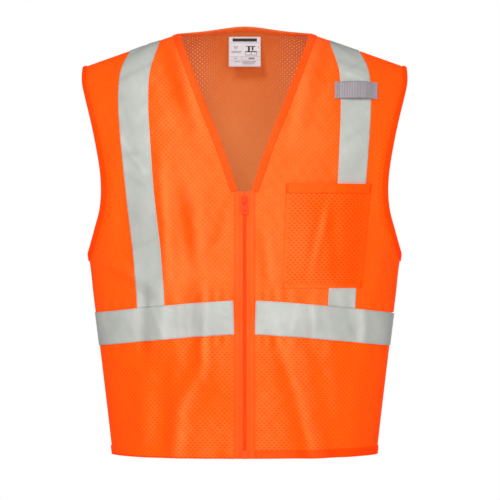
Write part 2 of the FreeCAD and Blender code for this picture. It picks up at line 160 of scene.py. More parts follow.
def sheet_between(low, high):
    """Vertices and faces of the closed sheet between two grids of points."""
    index = np.arange(low.shape[0] * low.shape[1]).reshape(low.shape[:2])
    a, b, c, d = [g.ravel() for g in (index[:-1, :-1], index[1:, :-1], index[1:, 1:], index[:-1, 1:])]
    faces = np.concatenate([np.stack([a, d, c, b], 1), np.stack([a, b, c, d], 1) + index.size]).tolist()
    ring = np.r_[index[:-1, 0], index[-1, :-1], index[:0:-1, -1], index[0, :0:-1]].tolist()
    faces += [(p, q, index.size + q, index.size + p) for p, q in zip(ring, ring[1:] + ring[:1])]
    return np.concatenate([low.reshape(-1, 3), high.reshape(-1, 3)]), faces


def tube_faces(rings, sides):
    """Faces of a closed tube through rings of vertices."""
    faces = []
    for i in range(rings - 1):
        for j in range(sides):
            k = (j + 1) % sides
            faces.append([(i + a) * sides + b for a, b in ((0, j), (0, k), (1, k), (1, j))])
    faces.append(list(range(sides - 1, -1, -1)))
    faces.append([(rings - 1) * sides + j for j in range(sides)])
    return faces


# --- the body form
def half_width(z):
    return spline(HALF_WIDTH, z)


def ridge(x):
    top = RIDGE_SLOPE * sqrt(NECK_HALF ** 2 + RIDGE_ROUND ** 2)
    return top - RIDGE_SLOPE * np.sqrt(x * x + RIDGE_ROUND ** 2)


def reach(side, x, z):
    depth = FRONT_DEPTH if side < 0 else spline(BACK_DEPTH, z)
    edge = np.maximum(0.0, 1 - (np.abs(x) / half_width(z)) ** SECTION_POWER) ** (1 / SECTION_POWER)
    t = np.clip((ridge(x) - z) / SHOULDER_DROP, 0.0, 1.0)
    return depth * edge * (1 - (1 - t) ** SHOULDER_POWER) ** (1 / SHOULDER_POWER)


def normal(side, x, z):
    h = 4e-6
    half = half_width(z) - 1e-5
    x = np.clip(x, -half, half)
    z = np.minimum(z, ridge(x) - 1e-5)
    gx = (reach(side, x + h, z) - reach(side, x - h, z)) / (2 * h)
    gz = (reach(side, x, z + h) - reach(side, x, z - h)) / (2 * h)
    return unit(np.stack([-gx, np.full_like(gx, side), -gz], -1))


# soft folds on each side: x and z of both ends, half width, height; + is outwards
FOLDS = {
    FRONT: [
        (-0.128, -0.02, -0.092, -0.14, 0.017, -0.0085), (-0.096, -0.04, -0.062, -0.165, 0.014, 0.0065),
        (-0.122, -0.19, -0.112, -0.385, 0.011, 0.0075), (-0.098, -0.235, -0.075, -0.37, 0.011, -0.007),
        (-0.072, -0.24, -0.066, -0.33, 0.012, 0.004), (-0.19, -0.16, -0.2, -0.33, 0.013, 0.0045),
        (-0.205, -0.35, -0.125, -0.395, 0.011, 0.0055), (-0.15, -0.375, -0.152, -0.5, 0.01, -0.0065),
        (-0.125, -0.38, -0.12, -0.5, 0.01, 0.005), (-0.082, -0.38, -0.078, -0.5, 0.012, -0.008),
        (-0.058, -0.39, -0.06, -0.52, 0.01, 0.006), (-0.06, -0.5, -0.092, -0.57, 0.014, 0.008),
        (-0.092, -0.56, -0.1, -0.65, 0.014, 0.008), (-0.118, -0.48, -0.124, -0.65, 0.015, -0.008),
        (-0.155, -0.5, -0.152, -0.65, 0.014, 0.005), (0.05, -0.45, 0.078, -0.545, 0.013, 0.0085),
        (0.078, -0.54, 0.104, -0.65, 0.013, 0.0085), (0.085, -0.43, 0.11, -0.545, 0.014, -0.007),
        (0.108, -0.54, 0.135, -0.65, 0.016, -0.006), (0.104, -0.39, 0.102, -0.48, 0.009, 0.005),
        (0.178, -0.4, 0.18, -0.5, 0.008, 0.005), (0.165, -0.48, 0.16, -0.64, 0.015, 0.005),
        (0.122, -0.02, 0.092, -0.13, 0.016, -0.007), (0.096, -0.06, 0.066, -0.175, 0.014, 0.0055),
        (0.205, -0.325, 0.19, -0.415, 0.012, 0.0045), (0.028, -0.3, 0.045, -0.395, 0.012, 0.005),
        (-0.03, -0.27, -0.055, -0.33, 0.012, -0.004), (0.205, -0.16, 0.2, -0.29, 0.012, 0.0045),
    ],
    BACK: [
        (-0.15, -0.08, -0.06, -0.18, 0.02, 0.007), (0.15, -0.08, 0.06, -0.18, 0.02, 0.007),
        (0.0, -0.12, 0.01, -0.33, 0.028, -0.005), (-0.08, -0.3, -0.06, -0.42, 0.016, 0.007),
        (0.09, -0.29, 0.06, -0.42, 0.016, 0.007), (-0.12, -0.44, -0.14, -0.65, 0.016, 0.008),
        (-0.05, -0.45, -0.055, -0.65, 0.016, -0.007), (0.02, -0.44, 0.03, -0.65, 0.016, 0.008),
        (0.1, -0.44, 0.12, -0.65, 0.016, -0.007), (-0.195, -0.34, -0.13, -0.41, 0.012, 0.005),
        (0.195, -0.34, 0.13, -0.41, 0.012, 0.005),
    ],
}
WAVES = [(RNG.uniform(0, 2 * pi), RNG.uniform(0.045, 0.13), RNG.uniform(0, 2 * pi)) for _ in range(14)]
FINE_WAVES = [(RNG.uniform(0, 2 * pi), RNG.uniform(0.014, 0.035), RNG.uniform(0, 2 * pi)) for _ in range(16)]


def waist_top(side, x):
    drop = 0.021 if side < 0 else 0.015
    return -0.406 - (0.021 - drop) - drop * (np.abs(x) / 0.231) ** 1.4


def rumple(waves, x, z, seed):
    total = 0.0
    for angle, length, phase in waves:
        total = total + np.sin((x * cos(angle) + z * sin(angle)) * 2 * pi / length + phase + seed)
    return total / sqrt(len(waves))


def from_line(line, x, z):
    """How far along a line points lie, 0 to 1, and how far from it."""
    x0, z0, x1, z1 = line
    ax, az = x1 - x0, z1 - z0
    t = np.clip(((x - x0) * ax + (z - z0) * az) / (ax * ax + az * az), 0, 1)
    return t, np.hypot(x - x0 - t * ax, z - z0 - t * az)


def drop_back(side, x, z):
    """The cloth drops back across each shoulder tape, as its height and its slope away from the centre."""
    if side > 0:
        return 0.0 * x, 0.0 * x
    size = DROP * smooth(-0.070, -0.260, z)
    t = (np.abs(x) - spline(SHOULDER_TAPE, z)) / DROP_WIDTH
    fade = np.exp(-(t / 2.5) ** 2)
    return -size * np.tanh(t) * fade, -size / DROP_WIDTH * fade / np.cosh(t) ** 2


def relief(side, x, z):
    """How far the cloth stands off the body form."""
    d = drop_back(side, x, z)[0]
    for *line, width, height in FOLDS[side]:
        t, away = from_line(line, x, z)
        d += height * np.sin(pi * (0.08 + 0.84 * t)) ** 0.7 * np.exp(-(away / width) ** 2)
    d += 0.0011 * rumple(WAVES, x, z, side) + 0.00028 * rumple(FINE_WAVES, x, z, side)
    # gathers beside the zip, along the waist tape's edges and in the hem
    beside = smooth(0.014, 0.020, np.abs(x)) * (1 - smooth(0.022, 0.045, np.abs(x)))
    if side < 0:
        d += 0.0009 * beside * np.sin(z * 2 * pi / 0.017 + 3 * np.sin(z * 31) + x * 40)
    top = waist_top(side, x)
    for line, grow in ((top, 1.0), (top - TAPE_WIDTH, -1.0)):
        near = np.exp(-((z - line) / 0.016) ** 2) * smooth(0.0, 0.004, (z - line) * grow)
        d += 0.0010 * near * np.sin(x * 2 * pi / 0.019 + 4 * np.sin(x * 27))
    low = 1 - smooth(-0.640, -0.560, z)
    d += 0.0022 * low * rumple(WAVES[:6], x * 1.3, z * 0.25, 2.0)
    d *= smooth(0.0, 0.045, reach(side, x, z))
    if side < 0:
        d *= smooth(0.012, 0.040, np.abs(x))
    return d


def shading(side, x, z):
    """How deep in shade the cloth is painted: 1 in a hollow or on a slope turned from the light, -1 on a
    crest.
    """
    h = 0.006
    around_it = (relief(side, x - h, z) + relief(side, x + h, z)) / 2
    hollow = (around_it - relief(side, x, z)) * 330
    slope = (relief(side, x + h, z) - relief(side, x - h, z)) / (2 * h)
    return np.clip(hollow - side * slope * 0.55, -1, 1)


# cloth coordinates: U runs round the body from the centre, V up the cloth from the hem
ANGLES = np.linspace(-pi / 2, pi / 2, 361)
V_STEP = 0.002
V_STEPS = np.arange(0.0, 0.80, V_STEP)
REF_Z = -0.350


def cloth_table(side):
    t = np.linspace(0, 1, 400)[None, :]
    x = half_width(HEM_Z) * np.sin(ANGLES)[:, None] + 0 * t
    for _ in range(10):
        z = HEM_Z + (ridge(x) - HEM_Z) * (1 - (1 - t) ** 2)
        x = half_width(z) * np.sin(ANGLES)[:, None]
    y = reach(side, x, z)
    runs = np.sqrt(np.diff(x, axis=1) ** 2 + np.diff(y, axis=1) ** 2 + np.diff(z, axis=1) ** 2)
    rise = np.concatenate([np.zeros((len(ANGLES), 1)), np.cumsum(runs, axis=1)], axis=1)
    heights = np.stack([np.interp(V_STEPS, rise[k], z[k]) for k in range(len(ANGLES))])
    xr = half_width(REF_Z) * np.sin(ANGLES)
    yr = reach(side, xr, np.full_like(xr, REF_Z))
    round_ = np.r_[0, np.cumsum(np.hypot(np.diff(xr), np.diff(yr)))]
    return {"rise": rise, "z": z, "heights": heights, "round": round_ - round_[len(ANGLES) // 2],
            "top": rise[:, -1]}


TABLES = {FRONT: cloth_table(FRONT), BACK: cloth_table(BACK)}


def spread(z):
    return half_width(z) / half_width(REF_Z)


def locate(side, u, v):
    """x and z of cloth coordinates."""
    table = TABLES[side]
    z = HEM_Z + np.clip(v, 0, 0.6)
    step = ANGLES[1] - ANGLES[0]
    for _ in range(5):
        a = np.interp(u / spread(z), table["round"], ANGLES)
        fa = np.clip((a - ANGLES[0]) / step, 0, len(ANGLES) - 1.001)
        fv = np.clip(v / V_STEP, 0, len(V_STEPS) - 1.001)
        i, j = fa.astype(int), fv.astype(int)
        p, q = fa - i, fv - j
        h = table["heights"]
        z = ((1 - p) * (1 - q) * h[i, j] + p * (1 - q) * h[i + 1, j] + (1 - p) * q * h[i, j + 1]
             + p * q * h[i + 1, j + 1])
    return half_width(z) * np.sin(a), z


def unroll(side, x, z):
    """Cloth coordinates of points at x and z."""
    x, z = np.atleast_1d(np.asarray(x, float)), np.atleast_1d(np.asarray(z, float))
    table = TABLES[side]
    a = np.arcsin(np.clip(x / half_width(z), -1, 1))
    u = np.interp(a, ANGLES, table["round"]) * spread(z)
    fa = np.clip((a - ANGLES[0]) / (ANGLES[1] - ANGLES[0]), 0, len(ANGLES) - 1.001)
    v = np.empty_like(u)
    for k, f in enumerate(fa):
        i = int(f)
        lo = np.interp(z[k], table["z"][i], table["rise"][i])
        hi = np.interp(z[k], table["z"][i + 1], table["rise"][i + 1])
        v[k] = lo + (f - i) * (hi - lo)
    return np.stack([u, v], 1)


def body_point(side, x, z):
    return np.stack([x, side * (reach(side, x, z) + relief(side, x, z)), z], -1)


def place(side, u, v, lift=0.0):
    """Points of the folded cloth, lifted off it along the body's normal."""
    x, z = locate(side, u, v)
    return body_point(side, x, z) + normal(side, x, z) * (lift + 0 * x)[..., None]


def across(path):
    """Unit sideways directions of a path in cloth coordinates, to its left."""
    ahead = unit(np.gradient(path, axis=0))
    return np.stack([-ahead[:, 1], ahead[:, 0]], 1)


def strip(name, side, path, section, lift_extra=None, shade=None):
    """Closed band along a path in cloth coordinates. section is its outline as (sideways, lift)."""
    path = np.asarray(path, float)
    left = across(path)
    section = np.asarray(section, float)
    u = path[:, None, 0] + left[:, None, 0] * section[None, :, 0]
    v = path[:, None, 1] + left[:, None, 1] * section[None, :, 0]
    lift = np.broadcast_to(section[None, :, 1], u.shape).copy()
    if lift_extra is not None:
        lift += lift_extra(u, v)
    verts = place(side, u.ravel(), v.ravel(), lift.ravel())
    shade = (shade or shading)(side, *locate(side, u.ravel(), v.ravel())).reshape(u.shape)
    # painted shade along both edges of a waist tape, on its outermost columns
    shade = shade + (1.6 * (np.abs(np.abs(section[:, 0]) - TAPE_WIDTH / 2) < 1e-5))[None, :]
    grid = np.broadcast_arrays(lengths(path)[:, None], lengths(section)[None, :])
    uvs = np.stack(grid, -1).reshape(-1, 2)
    return add_mesh(name, verts, tube_faces(len(path), len(section)), uvs, shade=shade)


# --- mesh cloth with real holes
HOLE_X, HOLE_Y = 0.0074, 0.00366
HOLE_W, HOLE_H = 0.00098, 0.00092


def mesh_cloth(name, side, u_range, v_range, keep, holed, through, size, shape=None, shade=None):
    """Knitted mesh: staggered bricks of cloth, cut to the bricks whose middle keep() accepts.

    Each brick that holed() accepts has a hole with a sunk rim painted deeper in shade, open where through()
    says so and else filled with a dark face in the second material, a painted shadow of the hole.
    """
    place_at = shape or (lambda u, v, sunk: place(side, u, v, 0.0004 - sunk))
    shade = shade or (lambda u, v: shading(side, *locate(side, u, v)))
    i0, i1 = int(np.floor(u_range[0] / HOLE_X)) - 1, int(np.ceil(u_range[1] / HOLE_X)) + 1
    j0, j1 = int(np.floor(v_range[0] / HOLE_Y)), int(np.ceil(v_range[1] / HOLE_Y)) + 1
    i, j = [g.ravel() for g in np.meshgrid(np.arange(i0, i1), np.arange(j0, j1), indexing="ij")]
    cu = (i + 0.5 * (j % 2)) * HOLE_X
    cv = (j + 0.5) * HOLE_Y
    inside = keep(cu, cv)
    i, j, cu, cv = i[inside], j[inside], cu[inside], cv[inside]
    open_ = holed(cu, cv)
    k = 2 * i + (j % 2)
    corner = [(k - 1, j), (k, j), (k + 1, j), (k + 1, j + 1), (k, j + 1), (k - 1, j + 1)]
    keys = np.stack([(a + 5000) * 10000 + b for a, b in corner], 1)
    unique, index = np.unique(keys.ravel(), return_inverse=True)
    index = index.reshape(keys.shape)
    lattice_u = np.clip((unique // 10000 - 5000) * HOLE_X / 2, *u_range)
    lattice_v = np.clip((unique % 10000) * HOLE_Y, *v_range)
    turn = np.radians([210, 270, 330, 30, 90, 150])
    size = size(cu[open_], cv[open_])[:, None]
    ru = np.clip(cu[open_, None] + HOLE_W * size * np.cos(turn) * 1.1, *u_range)
    rv = cv[open_, None] + HOLE_H * size * np.sin(turn)
    u = np.r_[lattice_u, ru.ravel()]
    v = np.r_[lattice_v, rv.ravel()]
    sunk = np.r_[np.zeros(len(unique)), np.full(ru.size, 0.00035)]
    ring = len(unique) + np.arange(open_.sum() * 6).reshape(-1, 6)
    outer = index[open_]
    faces = []
    for a in range(6):
        b = (a + 1) % 6
        faces.append(np.stack([outer[:, a], outer[:, b], ring[:, b], ring[:, a]], 1))
    quads = np.concatenate(faces).tolist()
    plain = quads + index[~open_].tolist()
    # holes that are not through get a dark face in the second material: painted shadow
    shadow_filled = ring[~through(cu[open_], cv[open_])].tolist()
    faces = plain + shadow_filled
    if side > 0:
        faces = [f[::-1] for f in faces]
    # the sunk rims of the holes are painted 0.55 deeper in shade, so each hole shows a dark dot
    piece = add_mesh(name, place_at(u, v, sunk), faces, np.stack([u, v], 1),
                     shade=shade(u, v) + np.where(sunk > 0, 0.55, 0.0), closed=False)
    piece.data.polygons.foreach_set("material_index", [0] * len(plain) + [1] * len(shadow_filled))
    return piece


def edge_curve(side, points, plan=False):
    """A cut edge as cloth coordinates, from x and z (or x and y in plan)."""
    p = resample(points, 0.003)
    if plan:
        lo, hi = ridge(p[:, 0]) - 0.060, ridge(p[:, 0])
        for _ in range(40):
            mid = (lo + hi) / 2
            deep = reach(side, p[:, 0], mid) > p[:, 1]
            lo, hi = np.where(deep, mid, lo), np.where(deep, hi, mid)
        p = np.stack([p[:, 0], (lo + hi) / 2], 1)
    return unroll(side, p[:, 0], p[:, 1])


def mirrored(points, hand):
    return [(hand * a, b) for a, b in points]


NECK_FRONT = {h: edge_curve(FRONT, mirrored(V_EDGE, h)) for h in (-1, 1)}
NECK_BACK = edge_curve(BACK, BACK_NECK_PLAN + mirrored(BACK_NECK_PLAN[-2::-1], -1), plan=True)
ARM = {(s, h): edge_curve(s, mirrored(ARMHOLE, h)) for s in (FRONT, BACK) for h in (-1, 1)}


def room(side, u, v):
    """Distances out to the side seam and up to the shoulder ridge."""
    table = TABLES[side]
    share = spread(locate(side, u, v)[1])
    a = np.interp(u / share, table["round"], ANGLES)
    return table["round"][-1] * share - np.abs(u), np.interp(a, ANGLES, table["top"]) - v


def inside_of(side, u, v):
    """True on the garment's cloth, False in its neck and arm openings."""
    x, z = locate(side, u, v)
    arm = [(b, a) for a, b in ARMHOLE][::-1]
    ok = (np.abs(x) < np.where(z < ARMHOLE[-1][1], 9.0, spline(arm, z)))
    out, up = room(side, u, v)
    ok &= (up > -HOLE_Y * 0.5) & (out > -HOLE_X * 0.5)
    if side < 0:
        vee = [(b, a) for a, b in V_EDGE][::-1]
        ok &= (z < V_EDGE[-1][1]) | (np.abs(x) > spline(vee, z))
    else:
        plan = [(a, b) for a, b in BACK_NECK_PLAN][::-1]
        y = reach(side, x, z)
        ok &= (np.abs(x) > NECK_HALF) | (y > spline(plan, np.abs(x))) | (z < -0.03)
    return ok


def distance(u, v, curves):
    best = np.full(len(u), 9.0)
    for c in curves:
        for k in range(0, len(u), 4000):
            s = slice(k, k + 4000)
            d = np.hypot(u[s, None] - c[None, :, 0], v[s, None] - c[None, :, 1]).min(1)
            best[s] = np.minimum(best[s], d)
    return best


def panel(name, side, hand=0):
    edges = [ARM[side, h] for h in (-1, 1)] + ([NECK_BACK] if side > 0 else [NECK_FRONT[-1], NECK_FRONT[1]])
    wide = TABLES[side]["round"][-1] * spread(-0.05)
    u_range = {0: (-wide, wide), 1: (PANEL_INNER, wide), -1: (-wide, -PANEL_INNER)}[hand]

    def keep(u, v):
        return inside_of(side, u, v) & (distance(u, v, edges) > 0.0022) & (v > 0)

    def holed(u, v):
        out, up = room(side, u, v)
        return (out > 0.006) & (up > 0.005) & (np.abs(u) > (PANEL_INNER + 0.002 if hand else -1))

    def through(u, v):
        x, z = locate(side, u, v)
        if side > 0:
            return (np.abs(x) > 0.040) & (np.abs(x) < 0.100) & (z > -0.120)
        return z > -0.430

    def size(u, v):
        x, z = locate(side, u, v)
        if side > 0:
            return 0.18 + 0.32 * smooth(0.038, 0.075, np.abs(x)) * smooth(-0.130, -0.050, z)
        return 0.85 + 0 * z

    return mesh_cloth(name, side, u_range, (0.0, 0.75), keep, holed, through, size)


# --- slabs and strips
def slab(name, side, at, columns, rows, lift, thick, edge_drop=0.0, taped=False):
    """Closed sheet over u and v in 0..1. at gives x and z; lift is a number or a function of u and v."""
    stations = np.linspace(0, 1, columns + 1)
    if taped:
        stations[[1, -2]] = 0.026, 0.974
    u, v = np.meshgrid(stations, np.linspace(0, 1, rows + 1), indexing="ij")
    x, z = at(u, v)
    base = body_point(side, x, z)
    n = normal(side, x, z)
    low = lift(u, v) if callable(lift) else np.full_like(u, lift)
    rim = np.ones_like(u) * thick
    rim[:, [0, -1]] -= edge_drop
    rim[[0, -1], :] -= edge_drop
    top = base + n * (low + rim)[..., None]
    du = np.linalg.norm(np.diff(top, axis=0), axis=2).mean(1).sum()
    dv = np.linalg.norm(np.diff(top, axis=1), axis=2).mean(0).sum()
    uvs = np.tile(np.stack([u * du, v * dv], -1).reshape(-1, 2), (2, 1))
    shade = (tape_shading if taped else shading)(side, x, z)
    # painted shade along a taped slab's two long edges
    if taped:
        shade[[0, -1], :] += 1.6
    verts, faces = sheet_between(base + n * low[..., None], top)
    return add_mesh(name, verts, faces, uvs, shade=np.tile(shade.ravel(), 2))


def folded_section(width, sign, clear=0.0011, ply=0.0005):
    """Outline of a strip folded round a raw edge, as (sideways, lift). Its outer corners are worn down."""
    mid = 0.0004
    faces = []
    for r, worn in ((clear + ply, 0.00035), (clear, 0.0)):
        over = [(width * (1 - k / 5), mid + r - worn * (k == 0)) for k in range(5)]
        bend = [(-r * cos(radians(a)), mid + r * sin(radians(a))) for a in (60, 30, 0, -30, -60)]
        under = [(width * (k + 1) / 5, mid - r + worn * (k == 4)) for k in range(5)]
        faces.append(over + bend + under)
    return [(sign * w, d) for w, d in faces[0] + faces[1][::-1]]


def sewing(name, rows, pitch=0.0030, length=0.0022, thick=0.00022):
    """Rows of sewn thread.

    Each row is its length and two functions of the distance along it: the thread's middle, sunk into the
    cloth or not, and the cloth's normal.
    """
    verts, faces = [], []
    for span, middle, upright in rows:
        count = int(span / pitch)
        mids = (np.arange(count) + 0.5) * span / max(count, 1)
        ends = [middle(mids + off * length, abs(off) > 0.4) for off in (-1 / 2, -1 / 3, 1 / 3, 1 / 2)]
        n = upright(mids)
        wide = np.cross(n, unit(ends[3] - ends[0]))
        for k in range(count):
            b = len(verts)
            verts.append(ends[0][k])
            for e in ends[1:3]:
                for c, d in ((1, 0), (0, 1), (-1, 0), (0, -1)):
                    verts.append(e[k] + wide[k] * thick * c + n[k] * thick * d)
            verts.append(ends[3][k])
            for q in range(4):
                r = (q + 1) % 4
                faces.append((b, b + 1 + r, b + 1 + q))
                faces.append((b + 1 + q, b + 1 + r, b + 5 + r, b + 5 + q))
                faces.append((b + 5 + q, b + 5 + r, b + 9))
    return add_mesh(name, verts, faces)


def seam(side, path, lift):
    """A row for sewing() along a path in cloth coordinates."""
    s = lengths(path)

    def at(along):
        return [np.interp(along, s, path[:, k]) for k in (0, 1)]

    def middle(along, sunk):
        return place(side, *at(along), np.full(len(along), lift - 0.00022 * sunk))

    return s[-1], middle, lambda along: normal(side, *locate(side, *at(along)))


def hem_path(side, x0, x1):
    """The hem's edge from one x to another, in cloth coordinates."""
    a0, a1 = [np.arcsin(np.clip(x / half_width(HEM_Z), -1, 1)) for x in (x0, x1)]
    a = np.linspace(a0, a1, max(int(abs(a1 - a0) / 0.02), 8))
    x = half_width(HEM_Z) * np.sin(a)
    return unroll(side, x, np.full_like(x, HEM_Z))


def waist_line(side, hand, down, count=60):
    """Cloth coordinates of a line that runs the given distance below the waist tape's top."""
    start = ZIP_EDGE + 0.0003 if side < 0 else 0.0
    a = np.linspace(np.arcsin(start / 0.23), pi / 2, count)
    x = np.zeros(count)
    for _ in range(5):
        z = waist_top(side, x) - down
        x = half_width(z) * np.sin(a)
    return unroll(side, hand * x, z)


def shoulder_at(side, hand, u, v):
    """x and z on a shoulder tape. The wearer's right one leans inwards."""
    nearer = RIGHT_TAPE_NEARER if hand < 0 else 0.0
    x, z = 0.149 + 0 * u, 0.0 * u
    for _ in range(10):
        middle = spline(SHOULDER_TAPE, z) - nearer * np.clip((-0.120 - z) / 0.210, 0, 1)
        level = np.minimum(z, ridge(middle) - 0.015)
        h = 0.0005
        slope = (reach(side, middle + h, level) - reach(side, middle - h, level)) / (2 * h)
        slope = slope + drop_back(side, middle, z)[1]
        x = middle + TAPE_WIDTH * (u - 0.5) / np.sqrt(1 + np.minimum(slope * slope, 1.2))
        z = ridge(x) + (waist_top(side, x) - 0.0025 - ridge(x)) * v ** 2.0
    return hand * x, z


# sharp creases in the tapes: x and z of both ends, half width, height
CREASES = {
    FRONT: [
        (-0.188, -0.052, -0.15, -0.018, 0.004, -0.001), (-0.172, -0.03, -0.142, -0.012, 0.003, 0.0009),
        (0.132, -0.014, 0.172, -0.04, 0.003, -0.001), (0.15, -0.062, 0.188, -0.04, 0.0035, -0.0009),
        (-0.186, -0.1, -0.168, -0.155, 0.004, -0.0006), (-0.19, -0.075, -0.14, -0.05, 0.0045, -0.0011),
        (-0.185, -0.165, -0.15, -0.215, 0.004, 0.001), (-0.19, -0.19, -0.16, -0.185, 0.005, -0.0012),
        (-0.182, -0.215, -0.15, -0.235, 0.0035, -0.001), (-0.175, -0.33, -0.135, -0.315, 0.005, -0.001),
        (0.14, -0.045, 0.185, -0.06, 0.005, -0.0012), (0.145, -0.06, 0.18, -0.075, 0.004, 0.0009),
        (0.145, -0.17, 0.18, -0.15, 0.004, -0.0007), (-0.14, -0.412, -0.12, -0.462, 0.0045, 0.001),
        (-0.105, -0.412, -0.098, -0.46, 0.004, -0.001), (-0.068, -0.41, -0.074, -0.455, 0.004, 0.0008),
        (0.08, -0.412, 0.07, -0.458, 0.004, 0.0007), (0.15, -0.42, 0.165, -0.465, 0.0045, -0.0009),
    ],
    BACK: [
        (-0.06, -0.415, -0.05, -0.465, 0.0045, 0.0008), (0.1, -0.415, 0.085, -0.47, 0.0045, -0.0008),
    ],
}


def crease_height(side, x, z):
    d = 0.0 * x
    for *line, width, tall in CREASES[side]:
        d = d + tall * np.exp(-(from_line(line, x, z)[1] / width) ** 2)
    return d


def creased(side, at, lift):
    def height(u, v):
        return np.maximum(lift + crease_height(side, *at(u, v)), lift)
    return height


def tape_shading(side, x, z):
    """As shading(), with painted shade in the tape's own creases and along its roll over the shoulder."""
    roll = 1.5 * np.exp(-np.maximum(ridge(x) - z, 0.0) / 0.007)
    return shading(side, x, z) * 0.8 - crease_height(side, x, z) * 900 + roll


def inward(side, path):
    """1 where the cloth lies to the left of an edge path, -1 where it lies to its right."""
    middle = len(path) // 2
    probe = path[middle] + across(path)[middle] * 0.01
    return 1 if inside_of(side, probe[:1], probe[1:])[0] else -1


def tape_section(width, low, thick, count=14):
    w = np.linspace(-width / 2, width / 2, count)
    w[[1, -2]] = -width / 2 + 0.0014, width / 2 - 0.0014
    top = np.full(count, low + thick)
    top[[0, -1]] -= thick * 0.3
    return [(a, low) for a in w] + [(a, b) for a, b in zip(w[::-1], top[::-1])]


# --- the pieces
MESH, BIND, TAPE, WEB = "mesh_cloth", "binding_cloth", "reflective_tape", "grey_webbing"
LABEL, THREAD, ZIP_CLOTH, COIL = "label_satin", "seam_thread", "zip_cloth", "zip_coil"
METAL, PLASTIC = "zip_metal", "zip_plastic"
PIECES = []
SEWN = {BIND: [], TAPE: []}
NAMES = {-1: "right", 1: "left"}
SIDES = {FRONT: "front", BACK: "back"}
TAPE_LIFT = 0.0008
TAPE_THICK = 0.0005
TAPE_SEAM = 0.0018
SEAM_LIFT, SEAM_IN = 0.00195, 0.0016


def put(piece, slot, *nodes, body="vest"):
    PIECES.append((piece, slot, nodes, body))
    return piece


def bind(name, node, side, path, width=BINDING):
    """A strip folded round a raw edge, with a row of stitches near its inner edge."""
    sign = inward(side, path)
    SEWN[BIND].append(seam(side, path + across(path) * sign * (width - SEAM_IN), SEAM_LIFT))
    return put(strip(name, side, path, folded_section(width, sign)), BIND, node)


put(panel("back_mesh", BACK), MESH, "back_panel")
for hand, word in NAMES.items():
    put(panel("front_mesh_" + word, FRONT, hand), MESH, "front_panel_" + word)

# bindings and hems
piece = bind("neck_tape_back", "neck_binding_back", BACK, NECK_BACK)
# faces not turned mainly to the back, the inner ply seen from the front through the neck, take the second
# material: painted shade
piece.data.polygons.foreach_set("material_index", [int(face.normal.y < 0.5) for face in piece.data.polygons])
for hand, word in NAMES.items():
    path = NECK_FRONT[hand]
    if path[0, 1] < path[-1, 1]:
        path = path[::-1]
    x, z = locate(FRONT, path[:, 0], path[:, 1])
    bind("neck_tape_" + word, "neck_binding_" + word, FRONT, path[z > ZIP_TOP + 0.0015])
    for side, where in SIDES.items():
        bind(f"arm_tape_{word}_{where}", f"armhole_binding_{word}_{where}", side, ARM[side, hand])
    path = hem_path(FRONT, hand * (ZIP_EDGE + 0.0004), hand * HEM_HALF)
    bind("hem_" + word, "hem_binding_" + word, FRONT, path, HEM_BAND)
bind("hem_back", "hem_binding_back", BACK, hem_path(BACK, -HEM_HALF, HEM_HALF), HEM_BAND)


# waist tapes
def waist_path(side, hand, down, count=60):
    """A waist tape's line on the front to one hand, or right across the back."""
    path = waist_line(side, hand, down, count)
    if side > 0:
        path = np.concatenate([waist_line(side, -hand, down, count)[::-1], path[1:]])
    return path


def waist_crease(u, v):
    return np.maximum(crease_height(FRONT, *locate(FRONT, u, v)), 0.0)


for side, hand, word in ((BACK, 1, "back"), (FRONT, -1, "right"), (FRONT, 1, "left")):
    line = waist_path(side, hand, TAPE_WIDTH / 2, 60 if side > 0 else 90)
    section = tape_section(TAPE_WIDTH, TAPE_LIFT + 0.0003, TAPE_THICK)
    lift = waist_crease if side < 0 else None
    piece = strip("waist_band_" + word, side, line, section, lift, tape_shading)
    put(piece, TAPE, "waist_tape_" + word)
    for down in (TAPE_SEAM, TAPE_WIDTH - TAPE_SEAM):
        SEWN[TAPE].append(seam(side, waist_path(side, hand, down), TAPE_LIFT + 0.00088))

# shoulder tapes
for side, where in SIDES.items():
    for hand, word in NAMES.items():
        def on_shoulder(u, v, side=side, hand=hand):
            return shoulder_at(side, hand, u, v)

        height = creased(side, on_shoulder, TAPE_LIFT - 0.0003)
        name = f"shoulder_band_{word}_{where}"
        piece = slab(name, side, on_shoulder, 22, 150, height, TAPE_THICK, 0.00015, taped=True)
        put(piece, TAPE, f"shoulder_tape_{word}_{where}")
        v = np.linspace(0.004, 0.998, 160)
        for u in (0.036, 0.964):
            path = unroll(side, *on_shoulder(np.full_like(v, u), v))
            SEWN[TAPE].append(seam(side, path, TAPE_LIFT + 0.00028))

# zip tapes
for hand, word in NAMES.items():
    def on_zip(u, v, hand=hand):
        return hand * (0.0010 + (ZIP_EDGE - 0.0010) * u), HEM_Z + (ZIP_TOP - HEM_Z) * v

    piece = slab("zip_band_" + word, FRONT, on_zip, 10, 160, 0.0009, 0.0006, 0.00015)
    put(piece, ZIP_CLOTH, "zip_tape_" + word)

    def on_welt(u, v, hand=hand):
        return hand * (0.0066 + (ZIP_EDGE - 0.0002 - 0.0066) * u), HEM_Z + (ZIP_TOP - 0.0004 - HEM_Z) * v

    put(slab("zip_welt_" + word, FRONT, on_welt, 6, 160, 0.00152, 0.0005, 0.0001), ZIP_CLOTH)
    z = np.linspace(HEM_Z + 0.002, ZIP_TOP - 0.001, 60)
    for x in (0.0082, 0.0142):
        SEWN[BIND].append(seam(FRONT, unroll(FRONT, np.full_like(z, hand * x), z), 0.00208))


# zip coils: each side a flattened helix whose heads pass between the other side's
COIL_PITCH = 0.0015
COIL_Y = -0.13245
COIL_FOOT, COIL_LENGTH, COIL_WIRE = -0.6318, 0.3813, 0.00031


